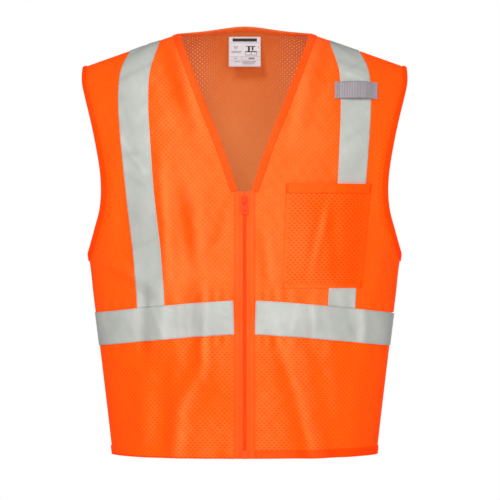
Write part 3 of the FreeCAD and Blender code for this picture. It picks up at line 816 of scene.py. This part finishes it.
def coil(name, hand, sides=6, per_turn=12):
    turns = int(COIL_LENGTH / COIL_PITCH) - 1
    t = np.arange(turns * per_turn + 1) / per_turn
    z = COIL_FOOT + t * COIL_PITCH + (COIL_PITCH / 2 if hand > 0 else 0.0)
    part = smooth(-0.2565, -0.2515, z) * 0.0007
    x = hand * (0.0013 + part - 0.00125 * np.cos(2 * pi * t))
    y = COIL_Y + 0.00062 * np.sin(2 * pi * t)
    track = np.stack([x, y, z], 1)
    ahead = unit(np.gradient(track, axis=0))
    side = unit(np.cross(ahead, [0.0, 0.0, 1.0]))
    up = np.cross(side, ahead)
    a = 2 * pi * np.arange(sides)[None, :, None] / sides
    verts = track[:, None] + COIL_WIRE * (side[:, None] * np.cos(a) + up[:, None] * np.sin(a))
    return add_mesh(name, verts.reshape(-1, 3), tube_faces(len(track), sides))


for hand, word in NAMES.items():
    put(coil("zip_teeth_" + word, hand), COIL, "zip_coil_" + word)

# film that stiffens the zip's foot, behind the coils and above the retainer box
film = [[[(x, y, z) for z in (-0.6340, -0.6270)] for x in (-0.0012, 0.0012)] for y in (-0.1313, -0.1311)]
put(add_mesh("zip_foot_film", *sheet_between(*np.array(film)), flat=True), ZIP_CLOTH)


# --- chest pocket
POCKET_TOP, POCKET_BOTTOM = -0.232, -0.388
POCKET_INNER, POCKET_OUTER = (0.062, 0.056), (0.1905, 0.176)
POCKET_W, POCKET_H = 0.1255, 0.156


def pocket_xz(u, v):
    """x and z over u and v in 0..1, v up."""
    inner = POCKET_INNER[1] + (POCKET_INNER[0] - POCKET_INNER[1]) * v
    outer = POCKET_OUTER[1] + (POCKET_OUTER[0] - POCKET_OUTER[1]) * v
    return inner + (outer - inner) * u, POCKET_BOTTOM + (POCKET_TOP - POCKET_BOTTOM) * v


def pocket_height(u, v):
    """Lift of the pocket's cloth over its own u and v in 0..1."""
    u = np.clip(u, 0, 1)
    bulge = 0.0062 * np.sin(pi * u) ** 0.8 * np.sin(np.clip(v, 0, 1) * pi / 2) ** 0.9
    droop = 0.0016 * np.sin(pi * u) * np.sin(pi * v) * np.sin(7 * u + 5 * v)
    fold = 0.0022 * np.exp(-((u - 0.30 - 0.22 * v) / 0.055) ** 2) * np.sin(pi * v) * np.sin(pi * u)
    fold -= 0.0018 * np.exp(-((u - 0.66 + 0.20 * v) / 0.07) ** 2) * np.sin(pi * v) * np.sin(pi * u)
    edge = np.exp(-(np.minimum(u, 1 - u) / 0.06) ** 2) + np.exp(-(v / 0.05) ** 2)
    pucker = 0.00035 * edge * np.sin(v * 46 + u * 31)
    return 0.0018 + bulge + droop + fold + pucker


# painted shade of the pocket's folds: 1 in a hollow or on a slope turned from the light, -1 on a crest
def pocket_shade(u, v):
    h = 0.05
    low, mid, high = [pocket_height(u + k * h, v) for k in (-1, 0, 1)]
    return np.clip(((low + high) / 2 - mid) * 500 + (high - low) / (2 * h * POCKET_W) * 0.55, -1, 1)


def on_pocket(u, v, lift):
    x, z = pocket_xz(u, v)
    d = pocket_height(u, v) + lift
    return body_point(FRONT, x, z) + normal(FRONT, x, z) * d[..., None]


def pocket_cloth(name):
    def keep(u, v):
        across_it = (u > -HOLE_X / 2) & (u < POCKET_W + HOLE_X / 2)
        return across_it & (v > -HOLE_Y / 2) & (v < POCKET_H + HOLE_Y / 2)

    def holed(u, v):
        return (u > 0.004) & (u < POCKET_W - 0.004) & (v > 0.004) & (v < POCKET_H - 0.004)

    return mesh_cloth(name, FRONT, (0.0, POCKET_W), (0.0, POCKET_H), keep, holed,
                      through=lambda u, v: u < 0, size=lambda u, v: 0.9 + 0 * u,
                      shape=lambda u, v, sunk: on_pocket(u / POCKET_W, v / POCKET_H, -sunk),
                      shade=lambda u, v: pocket_shade(u / POCKET_W, v / POCKET_H))


def pocket_band(name, u_span, v_span, columns, rows, low, thick):
    """Closed flat band over a part of the pocket."""
    u, v = np.meshgrid(np.linspace(*u_span, columns + 1), np.linspace(*v_span, rows + 1), indexing="ij")
    uvs = np.tile(np.stack([u * POCKET_W, v * POCKET_H], -1).reshape(-1, 2), (2, 1))
    # painted shade: the band is painted 0.4 darker than the pocket's fold shade, to match the pocket cloth's
    # painted hole shadows
    shade = np.tile(pocket_shade(u, v).ravel() + 0.4, 2)
    verts, faces = sheet_between(on_pocket(u, v, low), on_pocket(u, v, low + thick))
    return add_mesh(name, verts, faces, uvs, shade=shade)


def pocket_seam(start, end, lift):
    """A row for sewing() along a line between two points of the pocket's u and v."""
    (u0, v0), (u1, v1) = start, end
    span = np.hypot((u1 - u0) * POCKET_W, (v1 - v0) * POCKET_H)

    def middle(along, sunk):
        t = along / span
        return on_pocket(u0 + (u1 - u0) * t, v0 + (v1 - v0) * t, lift - 0.0002 * sunk)

    return span, middle, lambda along: np.tile([0.0, -1.0, 0.0], (len(along), 1))


put(pocket_cloth("pocket_mesh"), MESH, "chest_pocket")
put(pocket_band("pocket_top_band", (0.0, 1.0), (1 - 0.014 / POCKET_H, 1.004), 48, 8, 0.0001, 0.00045), MESH,
    "chest_pocket_hem")
turned_u, turned_v = 0.0075 / POCKET_W, 0.0075 / POCKET_H
for word, us, vs, columns, rows in (("inner", (0.0, turned_u), (0.0, 1.0), 4, 60),
                                    ("outer", (1 - turned_u, 1.0), (0.0, 1.0), 4, 60),
                                    ("bottom", (turned_u, 1 - turned_u), (0.0, turned_v), 44, 4)):
    put(pocket_band("pocket_fold_" + word, us, vs, columns, rows, -0.0007, 0.0005), MESH)
sew = []
for row in (SEAM_IN, SEAM_IN + 0.0050):
    u, v = row / POCKET_W, row / POCKET_H
    corners = ((u, 0.99), (u, v), (1 - u, v), (1 - u, 0.99))
    sew += [pocket_seam(start, end, 0.0002) for start, end in zip(corners, corners[1:])]
top_row = 1 - 0.0125 / POCKET_H
sew.append(pocket_seam((0.02, top_row), (0.98, top_row), 0.00060))
put(sewing("pocket_stitches", sew), THREAD)
bars = []
for v, lift in ((0.965, 0.00125), (0.035, 0.0004)):
    for u in (0.016, 0.984):
        for k in range(14):
            at = v + (k - 7) * 0.00075 / POCKET_H
            ends = ((u - 0.0014 / POCKET_W, at), (u + 0.0014 / POCKET_W, at + 0.0003 / POCKET_H))
            bars.append(pocket_seam(*ends, lift))
put(sewing("pocket_corner_tacks", bars, 0.0026, 0.0027, 0.00034), THREAD, "pocket_bartacks")


# --- radio mic tab
TAB_X, TAB_Z = (0.135, 0.199), (-0.104, -0.079)


def on_tab(u, v):
    return TAB_X[0] + (TAB_X[1] - TAB_X[0]) * u, TAB_Z[0] + (TAB_Z[1] - TAB_Z[0]) * v


def tab_height(u, v):
    bow = 0.0052 * np.clip(np.sin(pi * (u - 0.09) / 0.82), 0, 1) ** 0.8
    ribs = 0.00016 * np.sin(u * 2 * pi * 24 + 0.9 * np.sin(v * 2.2))
    return 0.0016 + bow * (u > 0.09) * (u < 0.91) + ribs


put(slab("tab_webbing", FRONT, on_tab, 150, 12, tab_height, 0.0013, 0.0003), WEB, "mic_tab")


def fold_height(u, v):
    return 0.0030 + 0.00012 * np.sin(u * 2 * pi * 3)


for word, start in (("inner", -0.005), ("outer", 0.905)):
    def on_fold(u, v, start=start):
        return on_tab(start + 0.1 * u, v * 1.02 - 0.01)

    put(slab("tab_fold_" + word, FRONT, on_fold, 14, 12, fold_height, 0.0009, 0.0003), WEB)
tab_sew = []
for u in (0.045, 0.072, 0.928, 0.955):
    v = np.linspace(0.05, 0.95, 10)
    tab_sew.append(seam(FRONT, unroll(FRONT, *on_tab(np.full_like(v, u), v)), 0.00395))
put(sewing("tab_stitches", tab_sew, 0.0022, 0.0017, 0.0002), WEB)

# rows of sewing
put(sewing("binding_stitches", SEWN[BIND]), THREAD)
put(sewing("tape_stitches", SEWN[TAPE], thick=0.00016), "silver_thread")

# seam allowances on the inside
ALLOWANCE = [(0.0003, -0.0016), (0.0035, -0.0017), (0.0073, -0.0016), (0.0073, -0.0006), (0.0035, -0.0005),
             (0.0003, -0.0006)]
for hand, word in NAMES.items():
    z = np.linspace(-0.354, -0.627, 70)
    x = np.linspace(0.114, 0.2375, 50)
    for which, xs, zs in (("side", half_width(z) * 0.99995, z), ("shoulder", x, ridge(x) - 2e-5)):
        path = unroll(BACK, hand * xs, zs)
        sign = inward(BACK, path)
        put(strip(f"{which}_allowance_{word}", BACK, path, [(sign * w, d) for w, d in ALLOWANCE]), MESH,
            f"{which}_seam_{word}")


# --- neck label
LABEL_HALF, LABEL_TOP, LABEL_BOTTOM, LABEL_Y = 0.025, 0.002, -0.045, 0.068


def label_y(x, z):
    t = (z - LABEL_TOP) / (LABEL_BOTTOM - LABEL_TOP)
    bow = 0.0010 * np.sin(pi * t) * (0.6 + 0.4 * np.cos(x * 60))
    return LABEL_Y - 0.00032 - bow - 0.0008 * t * (x / LABEL_HALF) ** 2


def label_grid(x0, x1, z0, z1, nx, nz, front, back):
    x, z = np.meshgrid(np.linspace(x0, x1, nx + 1), np.linspace(z0, z1, nz + 1), indexing="ij")
    return sheet_between(*[np.stack([x, label_y(x, z) + off, z], -1) for off in (back, front)])


def marks(name, boxes):
    """Printed marks on the label: boxes of (left, right, low, high) in millimetres from its top left."""
    verts, faces = [], []
    for left, right, low, high in boxes:
        x0, x1, z0, z1 = [mm / 1000 for mm in (left, right, -high, -low)]
        v, f = label_grid(x0 - LABEL_HALF, x1 - LABEL_HALF, z0 + LABEL_TOP, z1 + LABEL_TOP,
                          max(int((right - left) / 2), 1), max(int((high - low) / 2), 1), -0.00022, -0.00012)
        base = len(verts)
        verts += v.tolist()
        faces += [tuple(base + k for k in face) for face in f]
    return add_mesh(name, verts, faces, flat=True)


verts, faces = label_grid(-LABEL_HALF, LABEL_HALF, LABEL_BOTTOM, LABEL_TOP, 24, 24, -0.00016, 0.00012)
put(add_mesh("label_cloth", verts, faces), LABEL, "neck_label", body="label")
black = [(6, 44, 2.6, 7.6)]
black += [(27, 42, 14.5, 15.6), (30, 33, 14.5, 23.5), (36, 38.5, 14.5, 21.5), (26, 44, 22.6, 24.2)]
black += [(26, 26.6, 24.2, 29), (43.4, 44, 24.2, 29), (34.7, 35.3, 24.2, 29), (26, 44, 28.4, 29)]
put(marks("label_print_black", black), "label_black", body="label")
grey = [(2, 48, 9.2, 9.7), (2, 48, 31.2, 31.7), (2, 48, 36.2, 36.6), (20, 20.5, 31.7, 36.2)]
grey += [(7 + k, 15 - k, 15 + 1.6 * k, 15.7 + 1.6 * k) for k in range(3)]
grey += [(4, 20, 22.6, 23.5), (5, 19, 24.4, 25.2), (46, 47.4, 15.4, 16.4), (46, 47.4, 23.4, 24.4)]
grey += [(31, 40, 32.6, 35.2), (8, 13, 33.2, 34.2), (9, 18, 38.6, 39.4)]
grey += [(20 + k, 43 - 1.5 * k, 38.2 + 1.9 * k, 39.0 + 1.9 * k) for k in range(3)]
put(marks("label_print_grey", grey), "label_grey", body="label")


# --- materials
class Shader:
    """A Principled material and short ways to build its nodes."""

    def __init__(self, name, **constants):
        self.material = bpy.data.materials.new(name)
        self.material.use_nodes = True
        self.tree = self.material.node_tree
        self.bsdf = next(n for n in self.tree.nodes if n.type == "BSDF_PRINCIPLED")
        for key, value in constants.items():
            self.bsdf.inputs[key.replace("_", " ")].default_value = value

    def node(self, kind, inputs=None, **settings):
        made = self.tree.nodes.new(kind)
        for key, value in settings.items():
            setattr(made, key, value)
        for key, value in (inputs or {}).items():
            if isinstance(value, bpy.types.NodeSocket):
                self.tree.links.new(value, made.inputs[key])
            else:
                made.inputs[key].default_value = value
        return made

    def math(self, operation, a, b=0.0, c=0.0):
        return self.node("ShaderNodeMath", {0: a, 1: b, 2: c}, operation=operation).outputs[0]

    def coordinate(self, where="Object"):
        return self.node("ShaderNodeTexCoord").outputs[where]

    def grey(self, value):
        return self.node("ShaderNodeCombineColor", {0: value, 1: value, 2: value}).outputs[0]

    def noise(self, scale, detail=2.0, stretch=None):
        at = self.coordinate()
        if stretch:
            at = self.node("ShaderNodeVectorMath", {0: at, 1: stretch}, operation="MULTIPLY").outputs[0]
        return self.node("ShaderNodeTexNoise", {"Vector": at, "Scale": scale, "Detail": detail}).outputs[0]

    def ripple(self, axis, period, where="UV"):
        """A sine over one coordinate, 0 to 1."""
        part = self.node("ShaderNodeSeparateXYZ", {0: self.coordinate(where)}).outputs[axis]
        wave = self.math("SINE", self.math("MULTIPLY", part, 2 * pi / period))
        return self.math("MULTIPLY_ADD", wave, 0.5, 0.5)

    def colour(self, factor, stops):
        ramp = self.node("ShaderNodeValToRGB", {"Fac": factor})
        elements = ramp.color_ramp.elements
        while len(elements) < len(stops):
            elements.new(0.5)
        for element, (at, rgb) in zip(elements, stops):
            element.position = at
            element.color = (*rgb, 1)
        return ramp.outputs["Color"]

    def mix(self, factor, a, b, blend="MULTIPLY"):
        inputs = {0: factor, 6: a, 7: b}
        return self.node("ShaderNodeMix", inputs, data_type="RGBA", blend_type=blend).outputs[2]

    def set(self, socket, value):
        self.tree.links.new(value, self.bsdf.inputs[socket])

    def range(self, value, low, high, start=0.0, end=1.0, kind="LINEAR"):
        """Values from start to end carried over to low to high."""
        inputs = {"Value": value, "From Min": start, "From Max": end, "To Min": low, "To Max": high}
        return self.node("ShaderNodeMapRange", inputs, interpolation_type=kind).outputs[0]

    def bump(self, *layers):
        """Layers of (height, distance in metres)."""
        last = None
        for height, distance in layers:
            inputs = {"Height": height, "Distance": distance, "Strength": 1.0}
            if last is not None:
                inputs["Normal"] = last
            last = self.node("ShaderNodeBump", inputs).outputs[0]
        self.set("Normal", last)

    def finish(self, colour, rough, *layers):
        self.set("Base Color", colour)
        self.set("Roughness", rough)
        self.bump(*layers)
        return self.material


def around(rgb, amount):
    return tuple(min(c * amount, 1.0) for c in rgb)


def cloth(name, rgb, glow, period, deep, rough=0.88, inside=None):
    """Dyed cloth with a knitted or woven grain, slight random changes of colour, stray fibres, painted shade
    towards the sides and in the folds, and colour darker towards the bottom.

    A painted glow stands in for the fluorescent dye. inside is the (colour, glow) of the cloth's duller
    wrong side, a copy painted in shade, painted lighter lower down, where more light reaches it.
    """
    s = Shader(name, Specular_IOR_Level=0.05, Emission_Strength=1.0)
    x, y, z = s.node("ShaderNodeSeparateXYZ", {0: s.coordinate()}).outputs
    # painted shade: the cloth is darker towards the sides; low makes it darker towards the bottom
    painted_side_shade = s.range(s.math("ABSOLUTE", x), 0.0, 0.60, 0.07, 0.21, "SMOOTHSTEP")
    low = s.range(z, 0.0, 0.22, -0.36, -0.50)
    # painted light: the wrong side is painted paler lower down
    depth = s.range(z, 0.0, 1.0, -0.02, -0.20)
    # painted shade of the folds, from the shade attribute, darkens the colour and picks the ramp's deeper
    # end
    folded = s.node("ShaderNodeAttribute", attribute_name="shade").outputs["Fac"]
    deeper = s.math("ADD", s.math("ADD", painted_side_shade, low), s.math("MULTIPLY", folded, 0.52))
    tone = s.math("SUBTRACT", s.noise(9.0, 3.0), deeper)
    grain = s.math("MULTIPLY", s.ripple(0, period[0]), s.ripple(1, period[1]))
    grain = s.math("ADD", grain, s.math("MULTIPLY", s.noise(2600.0, 1.0), 0.35))
    shade = s.math("MULTIPLY", s.range(grain, 0.84, 1.09), s.math("MULTIPLY_ADD", folded, -0.145, 1.0))
    shade = s.grey(shade)
    # faces seen from behind take the wrong side's colours, a copy of the cloth painted in shade
    behind = s.node("ShaderNodeNewGeometry").outputs["Backfacing"]
    shaded_base_and_painted_glow = []
    for k, own in enumerate((rgb, glow)):
        deep_dye_and_painted_shade = (own[0], own[1] * 0.62, own[2] * 0.12)
        colour = s.colour(tone, [(0.0, deep_dye_and_painted_shade), (0.55, own)])
        if inside:
            top = inside[k]
            wrong = s.mix(depth, (*top, 1), (top[0] * 1.02, top[1] * 1.5, top[2] * 2.0, 1), "MIX")
            colour = s.mix(behind, colour, wrong, "MIX")
        shaded_base_and_painted_glow.append(s.mix(1.0, colour, shade))
    # painted glow: the cloth emits its own colour, standing in for the fluorescent dye
    s.set("Emission Color", shaded_base_and_painted_glow[1])
    fuzz = s.range(grain, rough - 0.05, rough + 0.06)
    return s.finish(shaded_base_and_painted_glow[0], fuzz, (s.noise(160.0, 3.0), 0.00022), (grain, deep))


KNIT, WOVEN = (0.00092, 0.00122), (0.0013, 0.00065)
MATERIALS = {
    MESH: cloth("mesh cloth", (0.90, 0.180, 0.036), (0.58, 0.024, 0.0), KNIT, 0.00016,
                inside=((0.43, 0.130, 0.038), (0.34, 0.052, 0.008))),
    "mesh_shadow": cloth("mesh shadow", (0.62, 0.070, 0.006), (0.34, 0.012, 0.0), KNIT, 0.00010,
                         inside=((0.37, 0.108, 0.032), (0.30, 0.043, 0.006))),
    "pocket_cloth": cloth("pocket cloth", (0.90, 0.155, 0.024), (0.58, 0.021, 0.0), KNIT, 0.00016),
    "pocket_shadow": cloth("pocket shadow", (0.44, 0.030, 0.003), (0.24, 0.004, 0.0), KNIT, 0.00010),
    BIND: cloth("binding cloth", (0.90, 0.100, 0.012), (0.58, 0.014, 0.0), WOVEN, 0.00010),
    # painted shade: a darker copy of the binding, for the back neck binding's inner ply
    "binding_painted_shade": cloth("binding inner ply painted shade", (0.55, 0.125, 0.035), (0.38, 0.040, 0.005), WOVEN, 0.00010),
    ZIP_CLOTH: cloth("zip cloth", (0.90, 0.118, 0.020), (0.58, 0.020, 0.001), (0.0011, 0.0008), 0.00010),
    THREAD: cloth("thread", (0.92, 0.135, 0.024), (0.58, 0.024, 0.001), (0.0005, 0.0005), 0.00003, 0.6),
}


def tape_material():
    """Silver tape: minute glass beads in a pale resin over a knitted backing."""
    s = Shader("silver tape", Specular_IOR_Level=0.42, Coat_Weight=0.06, Coat_Roughness=0.5)
    beads = s.node("ShaderNodeTexVoronoi", {"Vector": s.coordinate(), "Scale": 2600.0}).outputs["Distance"]
    cloudy = s.noise(26.0, 4.0)
    colour = s.colour(cloudy, [(0.30, (0.490, 0.507, 0.470)), (0.70, (0.560, 0.576, 0.536))])
    # painted shade of the folds and creases, from the shade attribute, multiplied into the bead flecks
    folded = s.node("ShaderNodeAttribute", attribute_name="shade").outputs["Fac"]
    flecks_and_painted_shade = s.math("MULTIPLY", s.range(beads, 1.04, 0.93), s.math("MULTIPLY_ADD", folded, -0.10, 0.97))
    scuff = s.range(s.noise(240.0, 5.0, stretch=(1.0, 1.0, 0.35)), 0.95, 1.04)
    colour = s.mix(1.0, colour, s.grey(s.math("MULTIPLY", flecks_and_painted_shade, scuff)))
    knit = s.math("MULTIPLY", s.ripple(0, 0.0011), s.ripple(1, 0.0011))
    return s.finish(colour, s.range(s.noise(90.0, 3.0), 0.44, 0.60),
                    (s.noise(130.0, 4.0), 0.00030), (knit, 0.000035), (beads, 0.00003))


def webbing_material():
    s = Shader("grey webbing", Sheen_Weight=0.15, Sheen_Roughness=0.4, Specular_IOR_Level=0.35)
    ribs = s.math("MULTIPLY", s.ripple(0, 0.00265), 0.7)
    weave = s.math("ADD", ribs, s.math("MULTIPLY", s.ripple(1, 0.0009), 0.3))
    weave = s.math("ADD", weave, s.math("MULTIPLY", s.noise(900.0, 2.0), 0.25))
    colour = s.colour(weave, [(0.15, (0.195, 0.175, 0.190)), (0.85, (0.410, 0.370, 0.395))])
    return s.finish(colour, s.range(weave, 0.62, 0.78), (weave, 0.00022))


def satin_material():
    s = Shader("label satin", Sheen_Weight=0.1, Specular_IOR_Level=0.45)
    thread = s.math("MULTIPLY", s.ripple(0, 0.0005, "Object"), s.ripple(2, 0.0003, "Object"))
    colour = s.colour(s.noise(60.0, 3.0), [(0.3, (0.55, 0.59, 0.63)), (0.7, (0.63, 0.67, 0.71))])
    return s.finish(colour, s.range(thread, 0.42, 0.55), (thread, 0.00003))


def ink_material(name, rgb):
    s = Shader(name, Specular_IOR_Level=0.3)
    colour = s.colour(s.noise(700.0, 3.0), [(0.25, around(rgb, 0.8)), (0.75, around(rgb, 1.6))])
    return s.finish(colour, s.range(s.noise(400.0, 2.0), 0.5, 0.7), (s.noise(1500.0, 2.0), 0.00001))


def painted_material(name, rgb, rough, coat=0.0):
    """Moulded nylon, or metal under sprayed paint, with slight orange peel, rubbed spots and a painted glow
    of its own colour.
    """
    s = Shader(name, Coat_Weight=coat, Coat_Roughness=0.3, Emission_Strength=0.16,
               Specular_IOR_Level=0.14)
    stops = [(0.30, around(rgb, 0.86)), (0.55, rgb), (0.78, around(rgb, 1.08))]
    colour = s.colour(s.noise(520.0, 4.0), stops)
    # painted glow: the part emits its own colour
    s.set("Emission Color", colour)
    wear = s.range(s.noise(800.0, 3.0), rough - 0.06, rough + 0.09)
    return s.finish(colour, wear, (s.noise(1400.0, 2.0), 0.00002))


MATERIALS[TAPE] = tape_material()
MATERIALS[WEB] = webbing_material()
MATERIALS[LABEL] = satin_material()
MATERIALS["label_black"] = ink_material("black print", (0.010, 0.010, 0.012))
MATERIALS["label_grey"] = ink_material("grey print", (0.16, 0.165, 0.18))
MATERIALS["silver_thread"] = ink_material("silver thread", (0.36, 0.37, 0.34))
MATERIALS[COIL] = painted_material("nylon coil", (0.90, 0.070, 0.004), 0.45)
MATERIALS[METAL] = painted_material("painted zip metal", (0.78, 0.052, 0.002), 0.40, coat=0.08)
MATERIALS[PLASTIC] = painted_material("zip plastic", (0.90, 0.080, 0.006), 0.45)

for piece, slot, nodes, body in PIECES:
    piece.data.materials.append(MATERIALS[slot])
    if slot == MESH:
        piece.data.materials.append(MATERIALS["mesh_shadow"])
    # the back neck binding also gets its painted-shade copy of the binding
    if piece.name == "neck_tape_back":
        piece.data.materials.append(MATERIALS["binding_painted_shade"])
    if piece.name.startswith("pocket") and slot == MESH:
        piece.data.materials[0] = MATERIALS["pocket_cloth"]
        piece.data.materials[1] = MATERIALS["pocket_shadow"]
    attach(piece, body)
    if nodes:
        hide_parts(*nodes)

# CAD parts that keep their own shape
KEPT = {METAL: ("zip_slider", "zip_pull"),
        PLASTIC: ("zip_retainer_box", "zip_insertion_pin", "zip_top_stop_left", "zip_top_stop_right")}
for node, slot in [(node, slot) for slot, group in KEPT.items() for node in group]:
    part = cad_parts[node]
    part.data.materials.clear()
    part.data.materials.append(MATERIALS[slot])
    edge = part.modifiers.new("rounded", "BEVEL")
    edge.width = 0.00025
    edge.segments = 3
    edge.limit_method = "ANGLE"

# --- the mesh pieces on each hand's front and on the back, put in lists that are not used
for word in NAMES.values():
    front = ["front_mesh_" + word]
    for where, under in (("front", front), ("back", ["back_mesh"])):
        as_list(under)

# --- floor, light, world
bpy.ops.mesh.primitive_circle_add(vertices=96, radius=2.4, fill_type="NGON", location=(0, 0, -0.95))
floor = bpy.context.object
floor.name = "floor"
pale = Shader("pale floor", Roughness=0.9, Specular_IOR_Level=0.1)
blotches = pale.colour(pale.noise(3.0, 3.0), [(0.3, (0.86, 0.86, 0.86)), (0.7, (0.90, 0.90, 0.90))])
pale.set("Base Color", blotches)
to_camera = pale.node("ShaderNodeLightPath").outputs["Is Camera Ray"]
pale.bsdf.inputs["Emission Color"].default_value = (1, 1, 1, 1)
pale.set("Emission Strength", pale.math("MULTIPLY", to_camera, 0.38))
floor.data.materials.append(pale.material)

scene = bpy.context.scene
scene.view_settings.view_transform = "Standard"
world = bpy.data.worlds.new("studio")
scene.world = world
world.use_nodes = True
backdrop = world.node_tree.nodes["Background"]
backdrop.inputs["Color"].default_value = (1.0, 1.0, 1.0, 1.0)
ray = world.node_tree.nodes.new("ShaderNodeLightPath")
level = world.node_tree.nodes.new("ShaderNodeMapRange")
level.inputs["To Min"].default_value = 0.34
level.inputs["To Max"].default_value = 1.0
world.node_tree.links.new(ray.outputs["Is Camera Ray"], level.inputs["Value"])
world.node_tree.links.new(level.outputs[0], backdrop.inputs["Strength"])


def lamp(name, at, aim, size, power):
    light = bpy.data.lights.new(name, "AREA")
    light.shape = "SQUARE"
    light.size = size
    light.energy = power
    made = bpy.data.objects.new(name, light)
    scene.collection.objects.link(made)
    made.location = at
    ahead = np.array(aim, float) - np.array(at, float)
    flat = np.hypot(ahead[0], ahead[1])
    made.rotation_euler = (np.arctan2(flat, -ahead[2]), 0.0, np.arctan2(-ahead[0], ahead[1]))


lamp("key", (-0.5, -2.3, 0.9), (0.0, 0.0, -0.2), 0.5, 34.0)
lamp("front", (0.8, -3.4, 0.2), (0.0, 0.0, -0.3), 0.9, 32.0)
lamp("rear", (0.9, 2.8, 0.1), (0.0, 0.0, -0.35), 0.9, 44.0)
